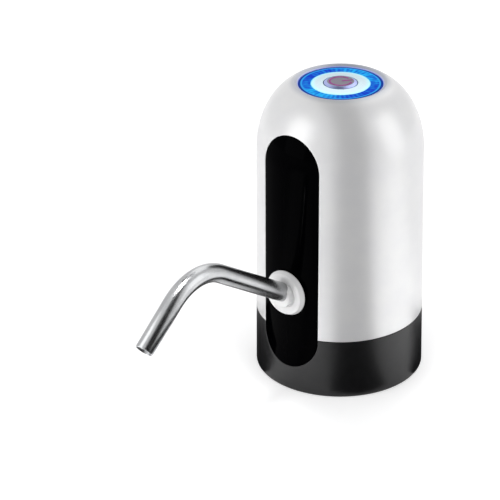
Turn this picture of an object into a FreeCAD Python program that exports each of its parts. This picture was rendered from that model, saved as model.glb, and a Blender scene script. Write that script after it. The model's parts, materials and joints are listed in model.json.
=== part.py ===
import FreeCAD, Part
import math
import os
from FreeCAD import Vector

# Electric table pump with a swivelling steel spout and a lit push button on its crown.
# Millimetres. +Z is up, the spout points along -Y, and the origin is the centre of the
# foot plane, which is also the mouth of the neck socket.

# Casing
wall = 2.6
side_taper = 1.0
crown_height = 29.8
crown_overrise = 1.4
crown_lip_width = 1.85
parting_lift = 0.4
foot_round = 0.8
lip_round = 0.6
parting_bevel = 0.35

# Clearances
seat_gap = 0.1
slide_gap = 0.08
glue_gap = 0.1
button_gap = 0.2
spin_gap = 0.06
cut_reach = 1.0

# Front panel, a stadium let into the casing
panel_half_width = 14.3
panel_foot = 11.4
panel_top_drop = 14.2
panel_thickness = 1.2

# Neck socket in the underside
socket_radius = 27.9
socket_land = 12.5
socket_relief = 0.6
socket_depth = 24.0
socket_wall = 2.0
grip_ring_height = 4.5
grip_lip = 0.5
ceiling_thickness = 2.4
lap_height = 4.2
lap_thickness = 1.4
rib_count = 12
rib_thickness = 1.2
rib_recess = 2.0

# Casing screws
casing_screw_count = 4
casing_screw_radius = 1.0
casing_screw_head = 1.85
casing_screw_head_height = 1.5
casing_screw_length = 13.0
casing_boss_radius = 2.5
casing_boss_height = 15.0
casing_screw_channel = 3.1
casing_screw_seat = 1.93

# Intake nipple
nipple_radius = 4.0
nipple_bore = 2.5
nipple_clearance_below = 0.6
nipple_shank_radius = 5.2
nipple_flange_radius = 8.4
nipple_flange_thickness = 1.6
nipple_groove_depth = 0.4
nipple_groove_count = 3
nipple_chamfer = 0.5
washer_thickness = 1.0

# Hoses and their nozzles
nozzle_radius = 2.9
nozzle_bore = 1.8
hose_wall = 1.5
hose_fit = 0.05
hose_overlap = 4.2
clip_width = 3.0
clip_thickness = 0.6
clip_inset = 0.5

# Pump stack on the casing's axis
pump_radius = 12.5
pump_stand = 14.6
outlet_rise = 5.9
head_thickness = 10.0
valve_plate_thickness = 3.0
diaphragm_thickness = 1.2
cup_seat_thickness = 4.0
wobble_chamber_height = 18.5
chamber_wall = 1.6
chamber_roof = 1.6
cup_count = 3
cup_circle = 6.6
cup_radius = 3.4
cup_wall = 0.6
knob_radius = 0.9
gallery_depth = 1.5
gallery_half_width = 2.0
feed_radius = 1.4
cross_bore_radius = 1.1
cross_bore_rise = 1.6
feed_rise = 3.0
intake_port_radius = 1.3
valve_flap_radius = 2.3
valve_flap_thickness = 0.4
valve_stem_radius = 0.65
valve_stem_length = 2.4
pump_screw_inset = 2.2
pump_screw_radius = 1.0
pump_screw_head = 1.7
pump_screw_head_height = 1.4
pump_screw_grip = 9.2

# Wobble drive
wobble_tilt = 7.0
wobble_swing_radius = 9.6
wobble_plate_thickness = 1.6
wobble_hub_radius = 3.0
wobble_hub_rise = 1.0
plate_rim = 0.5
wobble_pin_radius = 1.0
wobble_clearance = 2.2
eccentric_radius = 4.6
eccentric_gap = 1.3
eccentric_lift = 4.4
pin_pocket_depth = 3.4
shaft_end_gap = 0.6

# Motor
motor_length = 30.8
motor_can_setback = 0.3
motor_can_wall = 0.8
vent_width = 3.0
vent_height = 1.6
vent_lift = 2.0
shaft_radius = 1.0
bush_radius = 3.0
bush_boss = 1.4
magnet_thickness = 2.6
air_gap = 0.5
armature_poles = 3
armature_length = 14.0
armature_lift = 5.0
coil_slot_radius = 2.2
pole_tip = 1.0
slot_mouth = 1.2
end_turn = 2.4
magnet_length = 22.0
magnet_parting = 3.0
commutator_radius = 3.0
commutator_length = 4.5
commutator_slit = 0.4
commutator_gap = 0.5
end_cap_thickness = 2.2
end_cap_skin = 0.8
end_cap_plug = 1.0
terminal_height = 3.0
terminal_offset = 7.5
terminal_thickness = 0.5
terminal_width = 2.4
motor_screw_offset = 7.0
motor_screw_radius = 1.0
motor_screw_head = 1.7

# Outlet and spout
barrel_radius = 6.5
barrel_length = 12.0
socket_tube_wall = 2.0
socket_back_wall = 1.5
outlet_flange_radius = 13.0
outlet_flange_thickness = 1.8
outlet_pad_depth = 6.2
outlet_screw_offset = 10.7
outlet_screw_radius = 0.8
outlet_screw_length = 4.6
collar_radius = 10.1
collar_front_radius = 9.3
collar_rim = 1.3
collar_face_rise = 1.2
collar_hub_radius = 5.6
collar_hub_height = 1.5
collar_gap = 0.3
collar_edge = 0.3
collar_crest = (1.2, 0.45)
collar_hollow = (2.45, 0.75)
collar_hub_taper = 0.4
barrel_chamfer = 0.4
o_ring_section = 0.52
o_ring_setback = 7.2
o_ring_slack = 0.12
spout_radius = 4.0
spout_wall = 0.5
spout_stub = 9.0
spout_elbow_setout = 0.86
spout_elbow_bend = 8.0
spout_rise_angle = 32.2
spout_fall_angle = 39.0
spout_bend = 25.0
spout_span = 88.4
spout_tip_lift = 10.3

# Crown: light ring, dish and button
ring_outer_radius = 17.9
ring_inner_radius = 12.5
ring_drop = 0.9
ring_thickness = 2.8
ring_bevel = 0.3
ring_facets = 48
ring_facet_depth = 0.9
ring_facet_share = 0.9
ring_shelf = 1.9
ring_shelf_thickness = 1.3
dish_rise = 0.4
dish_wall = 1.2
button_floor_gap = 1.0
button_radius = 7.2
button_proud = 0.6
button_bevel = 0.7
button_skin = 1.4
button_travel = 0.8
button_lip = 0.9
button_lip_height = 0.8
button_wall = 1.0
icon_ring_radius = 4.6
icon_stroke = 0.8
icon_depth = 0.4
icon_proud = 0.08
icon_groove = 0.02
icon_bar_start = 0.55
icon_gap_angle = 66.0
icon_turn = 54.0
stem_radius = 1.5
stem_plate = 1.0

# Light board and its carrier
board_thickness = 1.2
light_board_margin = 0.3
light_depth = 7.9
lead_room = 6.3
led_count = 12
led_turn = 15.0
led_size = 2.8
led_height = 0.8
carrier_thickness = 2.0
carrier_rim = 1.2
carrier_eye = 8.0
carrier_arm_width = 5.0
carrier_turn = 90.0
carrier_screw_reach = 5.8
carrier_screw_count = 3
carrier_boss_radius = 2.6
carrier_screw_radius = 0.9
carrier_screw_length = 4.8
carrier_screw_head = 1.7
carrier_screw_head_height = 1.2
switch_size = 6.0
switch_height = 3.4
switch_plunger_radius = 1.7
switch_plunger_show = 0.6
switch_plunger_sunk = 0.6

# Battery, control board and charge socket
cell_radius = 9.25
cell_length = 65.0
cell_gap = 1.1
cell_stand = 3.6
cell_side_gap = 0.9
cell_nub_radius = 3.2
cell_nub_height = 0.6
pad_thickness = 1.0
cradle_wall = 1.2
cradle_height = 30.0
cradle_half_angle = 48.0
tab_width = 5.0
upper_tab_length = 15.0
lower_tab_length = 10.0
tab_thickness = 0.3
control_board_width = 28.0
control_board_height = 44.0
control_board_stand = 4.1
post_width = 5.0
post_height = 12.0
board_screw_radius = 0.9
board_screw_head = 1.8
# Width, depth and height of each part on the board, then its offset across and up the board.
board_part_sizes = (
    (8.0, 1.6, 5.0, -3.0, 23.0),
    (5.0, 1.2, 5.0, 7.0, 24.0),
    (4.0, 1.8, 4.0, -9.0, 29.0),
    (6.0, 2.2, 6.0, 4.0, 15.0),
    (3.0, 1.0, 1.6, -10.0, 22.0),
    (3.0, 1.0, 1.6, -10.0, 17.0),
)
port_lift = 9.0
port_pocket_width = 14.0
port_pocket_height = 9.0
port_pocket_depth = 3.0
port_floor = 1.6
port_width = 7.6
port_thickness = 3.0
port_shell = 0.35
port_back_wall = 1.0
port_length = 5.9
tongue_setback = 1.3
tongue_width = 4.4
tongue_thickness = 0.7

# Inner frame
frame_side_gap = 1.3
frame_plate_thickness = 2.0
pedestal_wall = 1.6
pedestal_windows = 4
pedestal_window_width = 9.0
pedestal_window_turn = 45.0

# Leads
lead_radius = 0.6
lead_spacing = 2.2
lead_landing = 6.0
# Points of the leads' routes as distances behind the axis and heights over their start.
motor_lead_route = ((0.0, 3.6), (8.5, 3.4), (17.0, -8.0))
battery_lead_route = ((5.0, 0.0), (12.0, -1.6), (20.0, -13.0))
light_lead_route = ((4.0, -4.4), (14.5, -8.0), (21.0, -22.0))
motor_lead_spread = (7.5, 7.0, 5.6)
battery_lead_inset = (3.35, 5.35, 9.35)
lead_entry_height = 10.0
motor_lead_x = 5.0
battery_lead_x = 9.4

UP = Vector(0, 0, 1)
ORIGIN = Vector(0, 0, 0)

# Heights: the pump and the motor stack up from the socket's ceiling, and the crown tops them.
ceiling_top = socket_depth + ceiling_thickness
parting_height = ceiling_top + parting_lift
frame_top = ceiling_top + frame_plate_thickness
pump_floor = ceiling_top + pump_stand
outlet_height = pump_floor + outlet_rise
head_top = pump_floor + head_thickness
valve_plate_top = head_top + valve_plate_thickness
diaphragm_top = valve_plate_top + diaphragm_thickness
cup_seat_top = diaphragm_top + cup_seat_thickness
chamber_top = cup_seat_top + wobble_chamber_height
motor_top = chamber_top + motor_length
wobble_centre = cup_seat_top + wobble_clearance + wobble_plate_thickness / 2
eccentric_floor = wobble_centre + eccentric_lift
eccentric_top = chamber_top - bush_boss - eccentric_gap
carrier_floor = motor_top + end_cap_thickness + terminal_height + lead_room
light_board_top = carrier_floor + carrier_thickness + board_thickness
ring_top = light_board_top + light_depth
ring_floor = ring_top - ring_thickness
shelf_floor = ring_floor - ring_shelf_thickness
total_height = ring_top + ring_drop
shoulder_height = total_height - crown_height
panel_top = total_height - panel_top_drop
button_top = ring_top + dish_rise + button_proud
sleeve_floor = light_board_top + button_travel + button_lip_height + button_floor_gap + 2 * seat_gap
cell_floor = frame_top + cell_stand
control_board_floor = frame_top + control_board_stand
port_height = control_board_floor + port_lift

# Radii: the side clears the cell beside the pump, and the screws beside the neck socket.
motor_can_radius = pump_radius - motor_can_setback
pump_screw_circle = pump_radius - pump_screw_inset
cell_x = pump_radius + cell_gap + cell_radius
radius_for_cell = cell_x + cell_radius + cell_side_gap + wall
radius_for_neck = socket_radius + socket_wall + casing_screw_channel + wall
shoulder_radius = max(radius_for_cell, radius_for_neck)
foot_radius = shoulder_radius + side_taper
ring_opening = ring_outer_radius + seat_gap
led_circle = (ring_outer_radius + ring_inner_radius) / 2
light_board_radius = ring_outer_radius + light_board_margin
carrier_screw_circle = light_board_radius + carrier_screw_reach

# Crown: a quarter ellipse that starts upright at the shoulder and ends on the lip round the light.
crown_rise = crown_height + crown_overrise
crown_share = math.sqrt(1 - (crown_height / crown_rise) ** 2)
crown_flat_radius = (ring_opening + crown_lip_width - shoulder_radius * crown_share) / (1 - crown_share)


def side_radius(height):
    """Outer radius of the tapered side at a height."""
    return foot_radius + (shoulder_radius - foot_radius) * height / shoulder_height


screw_circle = side_radius(socket_depth) - wall - casing_screw_seat
panel_recess = panel_thickness + glue_gap
frame_plate_radius = screw_circle - casing_boss_radius - frame_side_gap
collar_back = side_radius(outlet_height) + collar_gap
hose_radius = nozzle_radius + hose_fit + hose_wall
spout_elbow_start = collar_back + spout_elbow_setout
spout_reach = spout_elbow_start + spout_span
spout_tip_height = outlet_height + spout_tip_lift
control_board_back = side_radius(port_height) - port_pocket_depth - seat_gap - port_length


def turned(points):
    """Solid of revolution about Z of a closed outline given as (radius, height) corners."""
    corners = [Vector(radius, 0, height) for radius, height in points]
    face = Part.Face(Part.makePolygon(corners + [corners[0]]))
    return face.revolve(ORIGIN, UP, 360)


def rod(radius, low, high, x=0.0, y=0.0):
    """Upright cylinder between two heights."""
    return Part.makeCylinder(radius, high - low, Vector(x, y, low))


def sleeve(outer, inner, low, high, x=0.0, y=0.0):
    """Upright tube between two heights."""
    return rod(outer, low, high, x, y).cut(rod(inner, low, high, x, y))


def block(width, depth, height, x, y, low):
    """Upright box centred on x and y."""
    return Part.makeBox(width, depth, height, Vector(x - width / 2, y - depth / 2, low))


def spun(shape, angle):
    """Copy of a shape turned about the casing's axis."""
    copy = shape.copy()
    copy.rotate(ORIGIN, UP, angle)
    return copy


def ring_of(shape, count, start=0.0):
    """Copies of a shape spread evenly about the casing's axis."""
    return [spun(shape, start + 360.0 * step / count) for step in range(count)]


def joined(shapes):
    """One solid from several that touch or overlap."""
    return shapes[0].multiFuse(shapes[1:]).removeSplitter()


def facing_front(shape):
    """Turn a shape modelled along +Z to lie on the outlet's axis, pointing along -Y."""
    turned_shape = shape.copy()
    turned_shape.rotate(ORIGIN, Vector(1, 0, 0), 90)
    turned_shape.translate(Vector(0, 0, outlet_height))
    return turned_shape


def body_form(inset, low, high=None):
    """Casing outline moved inwards by inset: a tapered side and an elliptical crown."""
    width = shoulder_radius - crown_flat_radius - inset
    rise = crown_rise - inset
    foot = Vector(side_radius(low) - inset, 0, low)
    if high is not None and high <= shoulder_height:
        rim = Vector(side_radius(high) - inset, 0, high)
        edges = [Part.LineSegment(foot, rim).toShape()]
    else:
        shoulder = Vector(shoulder_radius - inset, 0, shoulder_height)
        centre = Vector(crown_flat_radius, 0, shoulder_height)
        ellipse = Part.Ellipse(centre + Vector(0, 0, rise), centre + Vector(width, 0, 0), centre)
        start = 0.0 if high is None else math.acos((high - shoulder_height) / rise)
        arc = Part.ArcOfEllipse(ellipse, start, math.pi / 2)
        rim = arc.StartPoint
        edges = [Part.LineSegment(foot, shoulder).toShape(), arc.toShape()]
    axis_low = Vector(0, 0, low)
    axis_high = Vector(0, 0, rim.z)
    edges.append(Part.LineSegment(rim, axis_high).toShape())
    edges.append(Part.LineSegment(axis_high, axis_low).toShape())
    edges.append(Part.LineSegment(axis_low, foot).toShape())
    face = Part.Face(Part.Wire(Part.sortEdges(edges)[0]))
    return face.revolve(ORIGIN, UP, 360)


def stadium(half_width, low, high, near, far):
    """Upright stadium prism along -Y, between two distances in front of the axis."""
    left = Vector(-half_width, -near, low + half_width)
    right = Vector(half_width, -near, low + half_width)
    right_top = Vector(half_width, -near, high - half_width)
    left_top = Vector(-half_width, -near, high - half_width)
    edges = [
        Part.Arc(left, Vector(0, -near, low), right).toShape(),
        Part.LineSegment(right, right_top).toShape(),
        Part.Arc(right_top, Vector(0, -near, high), left_top).toShape(),
        Part.LineSegment(left_top, left).toShape(),
    ]
    return Part.Face(Part.Wire(edges)).extrude(Vector(0, near - far, 0))


def round_edges(shape, radius, wanted):
    """Fillet the edges that a test picks."""
    return shape.makeFillet(radius, [edge for edge in shape.Edges if wanted(edge)])


def bevel_edges(shape, size, wanted):
    """Chamfer the edges that a test picks."""
    return shape.makeChamfer(size, [edge for edge in shape.Edges if wanted(edge)])


def circle_at(edge, radius, height, slack=0.02):
    """True for a level circle of one radius at one height."""
    if not isinstance(edge.Curve, Part.Circle):
        return False
    box = edge.BoundBox
    level = abs(box.ZMin - height) < slack and abs(box.ZMax - height) < slack
    return level and abs(edge.Curve.Radius - radius) < slack


def bent_path(points):
    """Straight runs joined by tangent arcs, each as large as its two runs allow."""
    share = 0.45
    corners = [Vector(*point) for point in points]
    edges = []
    radii = []
    start = corners[0]
    for before, corner, after in zip(corners, corners[1:], corners[2:]):
        back = (before - corner).normalize()
        ahead = (after - corner).normalize()
        reach = share * min((before - corner).Length, (after - corner).Length)
        half_turn = (math.pi - back.getAngle(ahead)) / 2
        radius = reach / math.tan(half_turn)
        middle = (back + ahead).normalize()
        bulge = radius / math.cos(half_turn) - radius
        arc_start = corner + back * reach
        arc_end = corner + ahead * reach
        edges.append(Part.LineSegment(start, arc_start).toShape())
        edges.append(Part.Arc(arc_start, corner + middle * bulge, arc_end).toShape())
        radii.append(radius)
        start = arc_end
    edges.append(Part.LineSegment(start, corners[-1]).toShape())
    return Part.Wire(edges), radii


def swept(path, radius):
    """Round rod along a path that starts at the path's first point."""
    first = path.OrderedEdges[0]
    start = first.valueAt(first.FirstParameter)
    heading = first.tangentAt(first.FirstParameter)
    ring = Part.Wire(Part.makeCircle(radius, start, heading))
    return path.makePipeShell([ring], True, False)


def panel_recess_tool():
    """The pocket that the front panel is glued into, cut in both casing halves."""
    half_width = panel_half_width + seat_gap
    prism = stadium(half_width, panel_foot - seat_gap, panel_top + seat_gap, 0, 2 * foot_radius)
    return prism.cut(body_form(panel_recess, 0))


def casing_screw_spots():
    """Angles of the casing screws, half way between ribs."""
    return [360.0 * (step + 0.5) / casing_screw_count for step in range(casing_screw_count)]


def ring_seat():
    """Collar under the lip with the shelf that the light ring stands on."""
    outer = ring_opening + wall / 2
    roof = total_height - wall / 2
    return turned([
        (ring_opening - ring_shelf, shelf_floor),
        (outer, shelf_floor),
        (outer, roof),
        (ring_opening, roof),
        (ring_opening, ring_floor),
        (ring_opening - ring_shelf, ring_floor),
    ])


def port_pocket(grow, near, far):
    """Rounded prism behind the axis, on the charge port's centre."""
    height = port_pocket_height + 2 * grow
    width = port_pocket_width + 2 * grow
    tall = stadium(height / 2, -width / 2, width / 2, near, far)
    tall.rotate(ORIGIN, Vector(0, 1, 0), 90)
    tall.rotate(ORIGIN, UP, 180)
    tall.translate(Vector(0, 0, port_height))
    return tall


def port_face():
    """Distance behind the axis of the pocket's floor."""
    return side_radius(port_height) - port_pocket_depth


def port_slot():
    """Hole in the pocket's floor that the charge socket's mouth fills."""
    width = port_width + 2 * seat_gap
    height = port_thickness + 2 * seat_gap
    y = port_face() - port_floor / 2
    return block(width, 2 * wall + port_floor, height, 0, y, port_height - height / 2)


def upper_shell():
    shell = body_form(0, parting_height, total_height).cut(body_form(wall, parting_height))
    rim = side_radius(parting_height)
    shell = bevel_edges(shell, parting_bevel, lambda e: circle_at(e, rim, parting_height))
    boss_floor = parting_height + seat_gap
    boss = rod(casing_boss_radius, boss_floor, parting_height + casing_boss_height, screw_circle)
    hanger_roof = shoulder_height + crown_rise
    hanger = rod(carrier_boss_radius, light_board_top - board_thickness, hanger_roof, carrier_screw_circle)
    pad = facing_front(rod(outlet_flange_radius, side_radius(outlet_height) - outlet_pad_depth, foot_radius))
    port_block = port_pocket(port_floor, port_face() - port_floor, foot_radius)
    additions = [ring_seat(), pad, port_block]
    additions += [spun(boss, angle) for angle in casing_screw_spots()]
    additions += ring_of(hanger, carrier_screw_count, carrier_turn)
    inside = body_form(wall / 2, parting_height)
    shell = joined([shell] + [piece.common(inside) for piece in additions])
    shell = shell.cut(rod(ring_opening, ring_floor, total_height + wall))
    shell = shell.cut(rod(ring_opening - ring_shelf, shelf_floor - wall, ring_floor))
    shell = round_edges(shell, lip_round, lambda e: circle_at(e, ring_opening, total_height))
    shell = shell.cut(panel_recess_tool())
    bore = facing_front(rod(barrel_radius + socket_tube_wall + 2 * slide_gap + seat_gap, 0, foot_radius))
    shell = shell.cut(bore)
    for side in (-1, 1):
        pilot = rod(outlet_screw_radius, 0, outlet_screw_tip() + seat_gap, side * outlet_screw_offset)
        shell = shell.cut(facing_front(pilot))
    pocket = port_pocket(0, port_face(), 2 * foot_radius)
    shell = shell.cut(pocket).cut(port_slot())
    pilot = rod(casing_screw_radius, 0, parting_height + casing_boss_height - wall, screw_circle)
    for angle in casing_screw_spots():
        shell = shell.cut(spun(pilot, angle))
    low = light_board_top - wall
    carrier_pilot = rod(carrier_screw_radius, low, light_board_top + wall, carrier_screw_circle)
    for hole in ring_of(carrier_pilot, carrier_screw_count, carrier_turn):
        shell = shell.cut(hole)
    return shell


def base_housing():
    base = body_form(0, 0, parting_height)
    base = round_edges(base, foot_round, lambda e: circle_at(e, foot_radius, 0))
    base = base.cut(rod(socket_radius, 0, socket_land))
    base = base.cut(rod(socket_radius + socket_relief, socket_land, socket_depth))
    moat = body_form(wall, 0, socket_depth).cut(rod(socket_radius + socket_wall, 0, socket_depth))
    rib_length = foot_radius - socket_radius
    rib_x = socket_radius + rib_length / 2
    rib = block(rib_length, rib_thickness, socket_depth - rib_recess, rib_x, 0, rib_recess)
    for web in ring_of(rib, rib_count):
        moat = moat.cut(web)
    base = base.cut(moat)
    base = base.cut(body_form(wall, ceiling_top, parting_height))
    lap_radius = side_radius(parting_height) - wall - seat_gap
    lap = sleeve(lap_radius, lap_radius - lap_thickness, socket_depth, parting_height + lap_height)
    notch_top = parting_height + casing_boss_height
    notch = rod(casing_boss_radius + 2 * seat_gap, parting_height, notch_top, screw_circle)
    hole = rod(casing_screw_radius + seat_gap, 0, parting_height, screw_circle)
    for angle in casing_screw_spots():
        lap = lap.cut(spun(notch, angle))
    base = joined([base, lap])
    for angle in casing_screw_spots():
        base = base.cut(spun(hole, angle))
    base = base.cut(rod(nipple_shank_radius + seat_gap, 0, ceiling_top + cut_reach))
    return base.cut(panel_recess_tool())


def front_panel():
    skin = body_form(0, 0).cut(body_form(panel_thickness, 0))
    panel = skin.common(stadium(panel_half_width, panel_foot, panel_top, 0, 2 * foot_radius))
    hole = facing_front(rod(barrel_radius + 4 * slide_gap, 0, 2 * foot_radius))
    return panel.cut(hole)


def neck_grip_ring():
    outer = socket_radius + socket_relief
    low = socket_land
    high = low + grip_ring_height
    lip = outer - socket_relief - grip_lip
    waist = lip + grip_lip
    points = [(outer, low), (outer, high), (waist, high)]
    lip_count = 3
    pitch = grip_ring_height / lip_count
    for step in range(lip_count):
        ridge = high - pitch * (step + 0.5)
        points.append((lip, ridge))
        points.append((waist, high - pitch * (step + 1)))
    return turned(points)


def casing_screws():
    head = rod(casing_screw_head, socket_depth - casing_screw_head_height, socket_depth, screw_circle)
    shank = rod(casing_screw_radius, socket_depth, socket_depth + casing_screw_length, screw_circle)
    slot = block(casing_screw_head, casing_screw_radius / 2, casing_screw_head_height / 2, screw_circle, 0,
                 socket_depth - casing_screw_head_height)
    screw = joined([head, shank]).cut(slot)
    return [spun(screw, angle) for angle in casing_screw_spots()]


def intake_nipple():
    tip = socket_land + nipple_clearance_below
    flange_floor = ceiling_top + washer_thickness
    nozzle_top = flange_floor + nipple_flange_thickness + hose_overlap
    body = turned([
        (nipple_bore, tip),
        (nipple_radius - nipple_chamfer, tip),
        (nipple_radius, tip + nipple_chamfer),
        (nipple_radius, socket_depth),
        (nipple_shank_radius, socket_depth),
        (nipple_shank_radius, flange_floor),
        (nipple_flange_radius, flange_floor),
        (nipple_flange_radius, flange_floor + nipple_flange_thickness),
        (nozzle_radius, flange_floor + nipple_flange_thickness),
        (nozzle_radius, nozzle_top),
        (nozzle_bore, nozzle_top),
        (nozzle_bore, flange_floor),
        (nipple_bore, socket_depth),
    ])
    pitch = (socket_depth - tip) / (nipple_groove_count + 1)
    for step in range(nipple_groove_count):
        level = tip + pitch * (step + 1)
        body = body.cut(turned([
            (nipple_radius + cut_reach, level - nipple_groove_depth - cut_reach),
            (nipple_radius - nipple_groove_depth, level),
            (nipple_radius + cut_reach, level + nipple_groove_depth + cut_reach),
        ]))
    return body


def nipple_washer():
    inner = nipple_shank_radius + seat_gap
    return sleeve(nipple_flange_radius, inner, ceiling_top, ceiling_top + washer_thickness)


def inner_frame():
    plate = rod(frame_plate_radius, ceiling_top, frame_top)
    pedestal = sleeve(pump_radius, pump_radius - pedestal_wall, frame_top, pump_floor)
    window_height = pump_floor - frame_top - 2 * pedestal_wall
    window_floor = frame_top + pedestal_wall
    window = block(2 * pump_radius, pedestal_window_width, window_height, pump_radius, 0, window_floor)
    for gap in ring_of(window, pedestal_windows, pedestal_window_turn):
        pedestal = pedestal.cut(gap)
    stand = rod(cell_radius - cradle_wall, frame_top, cell_floor - pad_thickness, cell_x)
    inner = cell_radius + seat_gap
    arms = sleeve(inner + cradle_wall, inner, frame_top, frame_top + cradle_height, cell_x)
    keep = 2 * cell_radius * math.sin(math.radians(cradle_half_angle))
    arms = arms.common(block(keep, 4 * cell_radius, cradle_height, cell_x, 0, frame_top))
    arms = arms.common(rod(frame_plate_radius, frame_top, frame_top + cradle_height))
    post_y = control_board_back - board_thickness - post_width / 2
    height = control_board_floor + post_height - frame_top
    post = block(post_width, post_width, height, board_screw_x(), post_y, frame_top)
    posts = [post, post.mirror(ORIGIN, Vector(1, 0, 0))]
    within = rod(frame_plate_radius, frame_top, frame_top + height)
    frame = joined([plate, pedestal, stand, arms] + [post.common(within) for post in posts])
    frame = frame.cut(rod(nipple_flange_radius + seat_gap, ceiling_top, frame_top))
    for side in (-1, 1):
        frame = frame.cut(board_screw_hole(side))
    return frame


def board_screw_x():
    return control_board_width / 2 - post_width / 2


def board_screw_level():
    return control_board_floor + post_height / 2


def across(shape, x, y, z):
    """Turn a shape modelled along +Z to point along +Y, and place it."""
    moved = shape.copy()
    moved.rotate(ORIGIN, Vector(1, 0, 0), -90)
    moved.translate(Vector(x, y, z))
    return moved


def board_screw_hole(side):
    hole = rod(board_screw_radius, -post_width, board_thickness)
    return across(hole, side * board_screw_x(), control_board_back - board_thickness, board_screw_level())


def board_screws():
    screws = []
    back = control_board_back - board_thickness
    for side in (-1, 1):
        head = rod(board_screw_head, board_thickness, board_thickness + board_screw_radius)
        shank = rod(board_screw_radius - slide_gap, seat_gap - post_width, board_thickness)
        screws.append(across(joined([head, shank]), side * board_screw_x(), back, board_screw_level()))
    return screws


def pump_screw_angles():
    return [360.0 * step / cup_count + 180.0 / cup_count + 90.0 for step in range(cup_count)]


def drilled(shape, radius, low, high):
    """Cut the pump screws' holes through a piece of the stack."""
    for angle in pump_screw_angles():
        shape = shape.cut(spun(rod(radius, low, high, pump_screw_circle), angle))
    return shape


def cup_spots():
    """Centres of the pump's cups."""
    angles = [math.radians(90.0 + 360.0 * step / cup_count) for step in range(cup_count)]
    return [(cup_circle * math.cos(angle), cup_circle * math.sin(angle)) for angle in angles]


def pump_head():
    """Floor of the pump: inlet and outlet nozzles, with the gallery that feeds the cups."""
    intake_end = pump_floor - hose_overlap
    outlet_end = pump_radius + hose_overlap
    gallery = head_top - gallery_depth
    head = joined([
        rod(pump_radius, pump_floor, head_top),
        rod(nozzle_radius, intake_end, pump_floor),
        facing_front(rod(nozzle_radius, 0, outlet_end)),
    ])
    head = head.cut(rod(nozzle_bore, intake_end, pump_floor + feed_rise))
    head = head.cut(across(rod(cross_bore_radius, 0, cup_circle), 0, 0, pump_floor + cross_bore_rise))
    head = head.cut(rod(feed_radius, pump_floor + feed_radius / 2, gallery + cut_reach, 0, cup_circle))
    ring = sleeve(cup_circle + gallery_half_width, cup_circle - gallery_half_width, gallery, head_top)
    head = head.cut(ring)
    head = head.cut(rod(valve_flap_radius + seat_gap, outlet_height, head_top))
    head = head.cut(facing_front(rod(nozzle_bore, 0, outlet_end)))
    head = drilled(head, pump_screw_head + seat_gap, pump_floor, pump_floor + pump_screw_head_height)
    return drilled(head, pump_screw_radius + seat_gap, pump_floor, head_top)


def valve_plate():
    plate = rod(pump_radius, head_top, valve_plate_top)
    plate = plate.cut(rod(intake_port_radius, head_top, valve_plate_top))
    for x, y in cup_spots():
        plate = plate.cut(rod(intake_port_radius, head_top, valve_plate_top, x, y))
        seat = valve_plate_top - 2 * valve_flap_thickness
        plate = plate.cut(rod(valve_flap_radius + seat_gap, seat, valve_plate_top, x, y))
    return drilled(plate, pump_screw_radius + seat_gap, head_top, valve_plate_top)


def check_valves():
    flap = rod(valve_flap_radius, -valve_flap_thickness, 0)
    stem = rod(valve_stem_radius, -valve_stem_length, -valve_flap_thickness)
    valve = joined([flap, stem])
    valves = []
    for x, y in cup_spots():
        placed = valve.copy()
        placed.translate(Vector(x, y, valve_plate_top - valve_flap_thickness))
        valves.append(placed)
    outlet = valve.copy()
    outlet.rotate(ORIGIN, Vector(1, 0, 0), 180)
    outlet.translate(Vector(0, 0, head_top - valve_flap_thickness))
    return valves + [outlet]


def plate_height(x, y):
    """Height of the tilted wobble plate's middle layer above a place at rest."""
    return wobble_centre + x * math.tan(math.radians(wobble_tilt))


def cup_roof(x, y):
    """Top of a cup, just clear of the tilted plate above it."""
    slope = cup_radius * math.tan(math.radians(wobble_tilt))
    return plate_height(x, y) - wobble_plate_thickness / 2 - slope - seat_gap


def diaphragm():
    """Rubber sheet with a cup under each arm of the plate, buttoned through it."""
    parts = [rod(pump_radius, valve_plate_top, diaphragm_top)]
    for x, y in cup_spots():
        roof = cup_roof(x, y)
        bulb = 2 * plate_height(x, y) - roof
        parts.append(rod(cup_radius, valve_plate_top, roof, x, y))
        parts.append(rod(knob_radius, roof, bulb, x, y))
        parts.append(rod(2 * knob_radius, bulb, bulb + knob_radius, x, y))
    rubber = joined(parts)
    for x, y in cup_spots():
        rubber = rubber.cut(rod(cup_radius - cup_wall, valve_plate_top, cup_roof(x, y) - cup_wall, x, y))
    return drilled(rubber, pump_screw_radius + seat_gap, valve_plate_top, diaphragm_top)


def cup_seat():
    seat = rod(pump_radius, diaphragm_top, cup_seat_top)
    for x, y in cup_spots():
        seat = seat.cut(rod(cup_radius + 2 * seat_gap, diaphragm_top, cup_seat_top, x, y))
    return drilled(seat, pump_screw_radius + seat_gap, diaphragm_top, cup_seat_top)


def wobble_chamber():
    chamber = rod(pump_radius, cup_seat_top, chamber_top)
    chamber = chamber.cut(rod(pump_radius - chamber_wall, cup_seat_top, chamber_top - chamber_roof))
    grip_top = cup_seat_top + pump_screw_grip
    post = rod(pump_screw_radius + chamber_wall, cup_seat_top, grip_top, pump_screw_circle)
    between = sleeve(pump_radius, wobble_swing_radius, cup_seat_top, chamber_top)
    chamber = joined([chamber] + [spun(post, angle).common(between) for angle in pump_screw_angles()])
    chamber = chamber.cut(rod(bush_radius + seat_gap, chamber_top - chamber_roof, chamber_top))
    for hole in motor_screw_hole(motor_screw_radius, chamber_top - chamber_roof, chamber_top):
        chamber = chamber.cut(hole)
    return drilled(chamber, pump_screw_radius, cup_seat_top, grip_top)


def pump_screws():
    under = pump_floor + pump_screw_head_height
    head = rod(pump_screw_head, pump_floor + seat_gap, under, pump_screw_circle)
    tip = cup_seat_top + pump_screw_grip - cut_reach
    shank = rod(pump_screw_radius - slide_gap, under, tip, pump_screw_circle)
    screw = joined([head, shank])
    return [spun(screw, angle) for angle in pump_screw_angles()]


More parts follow.
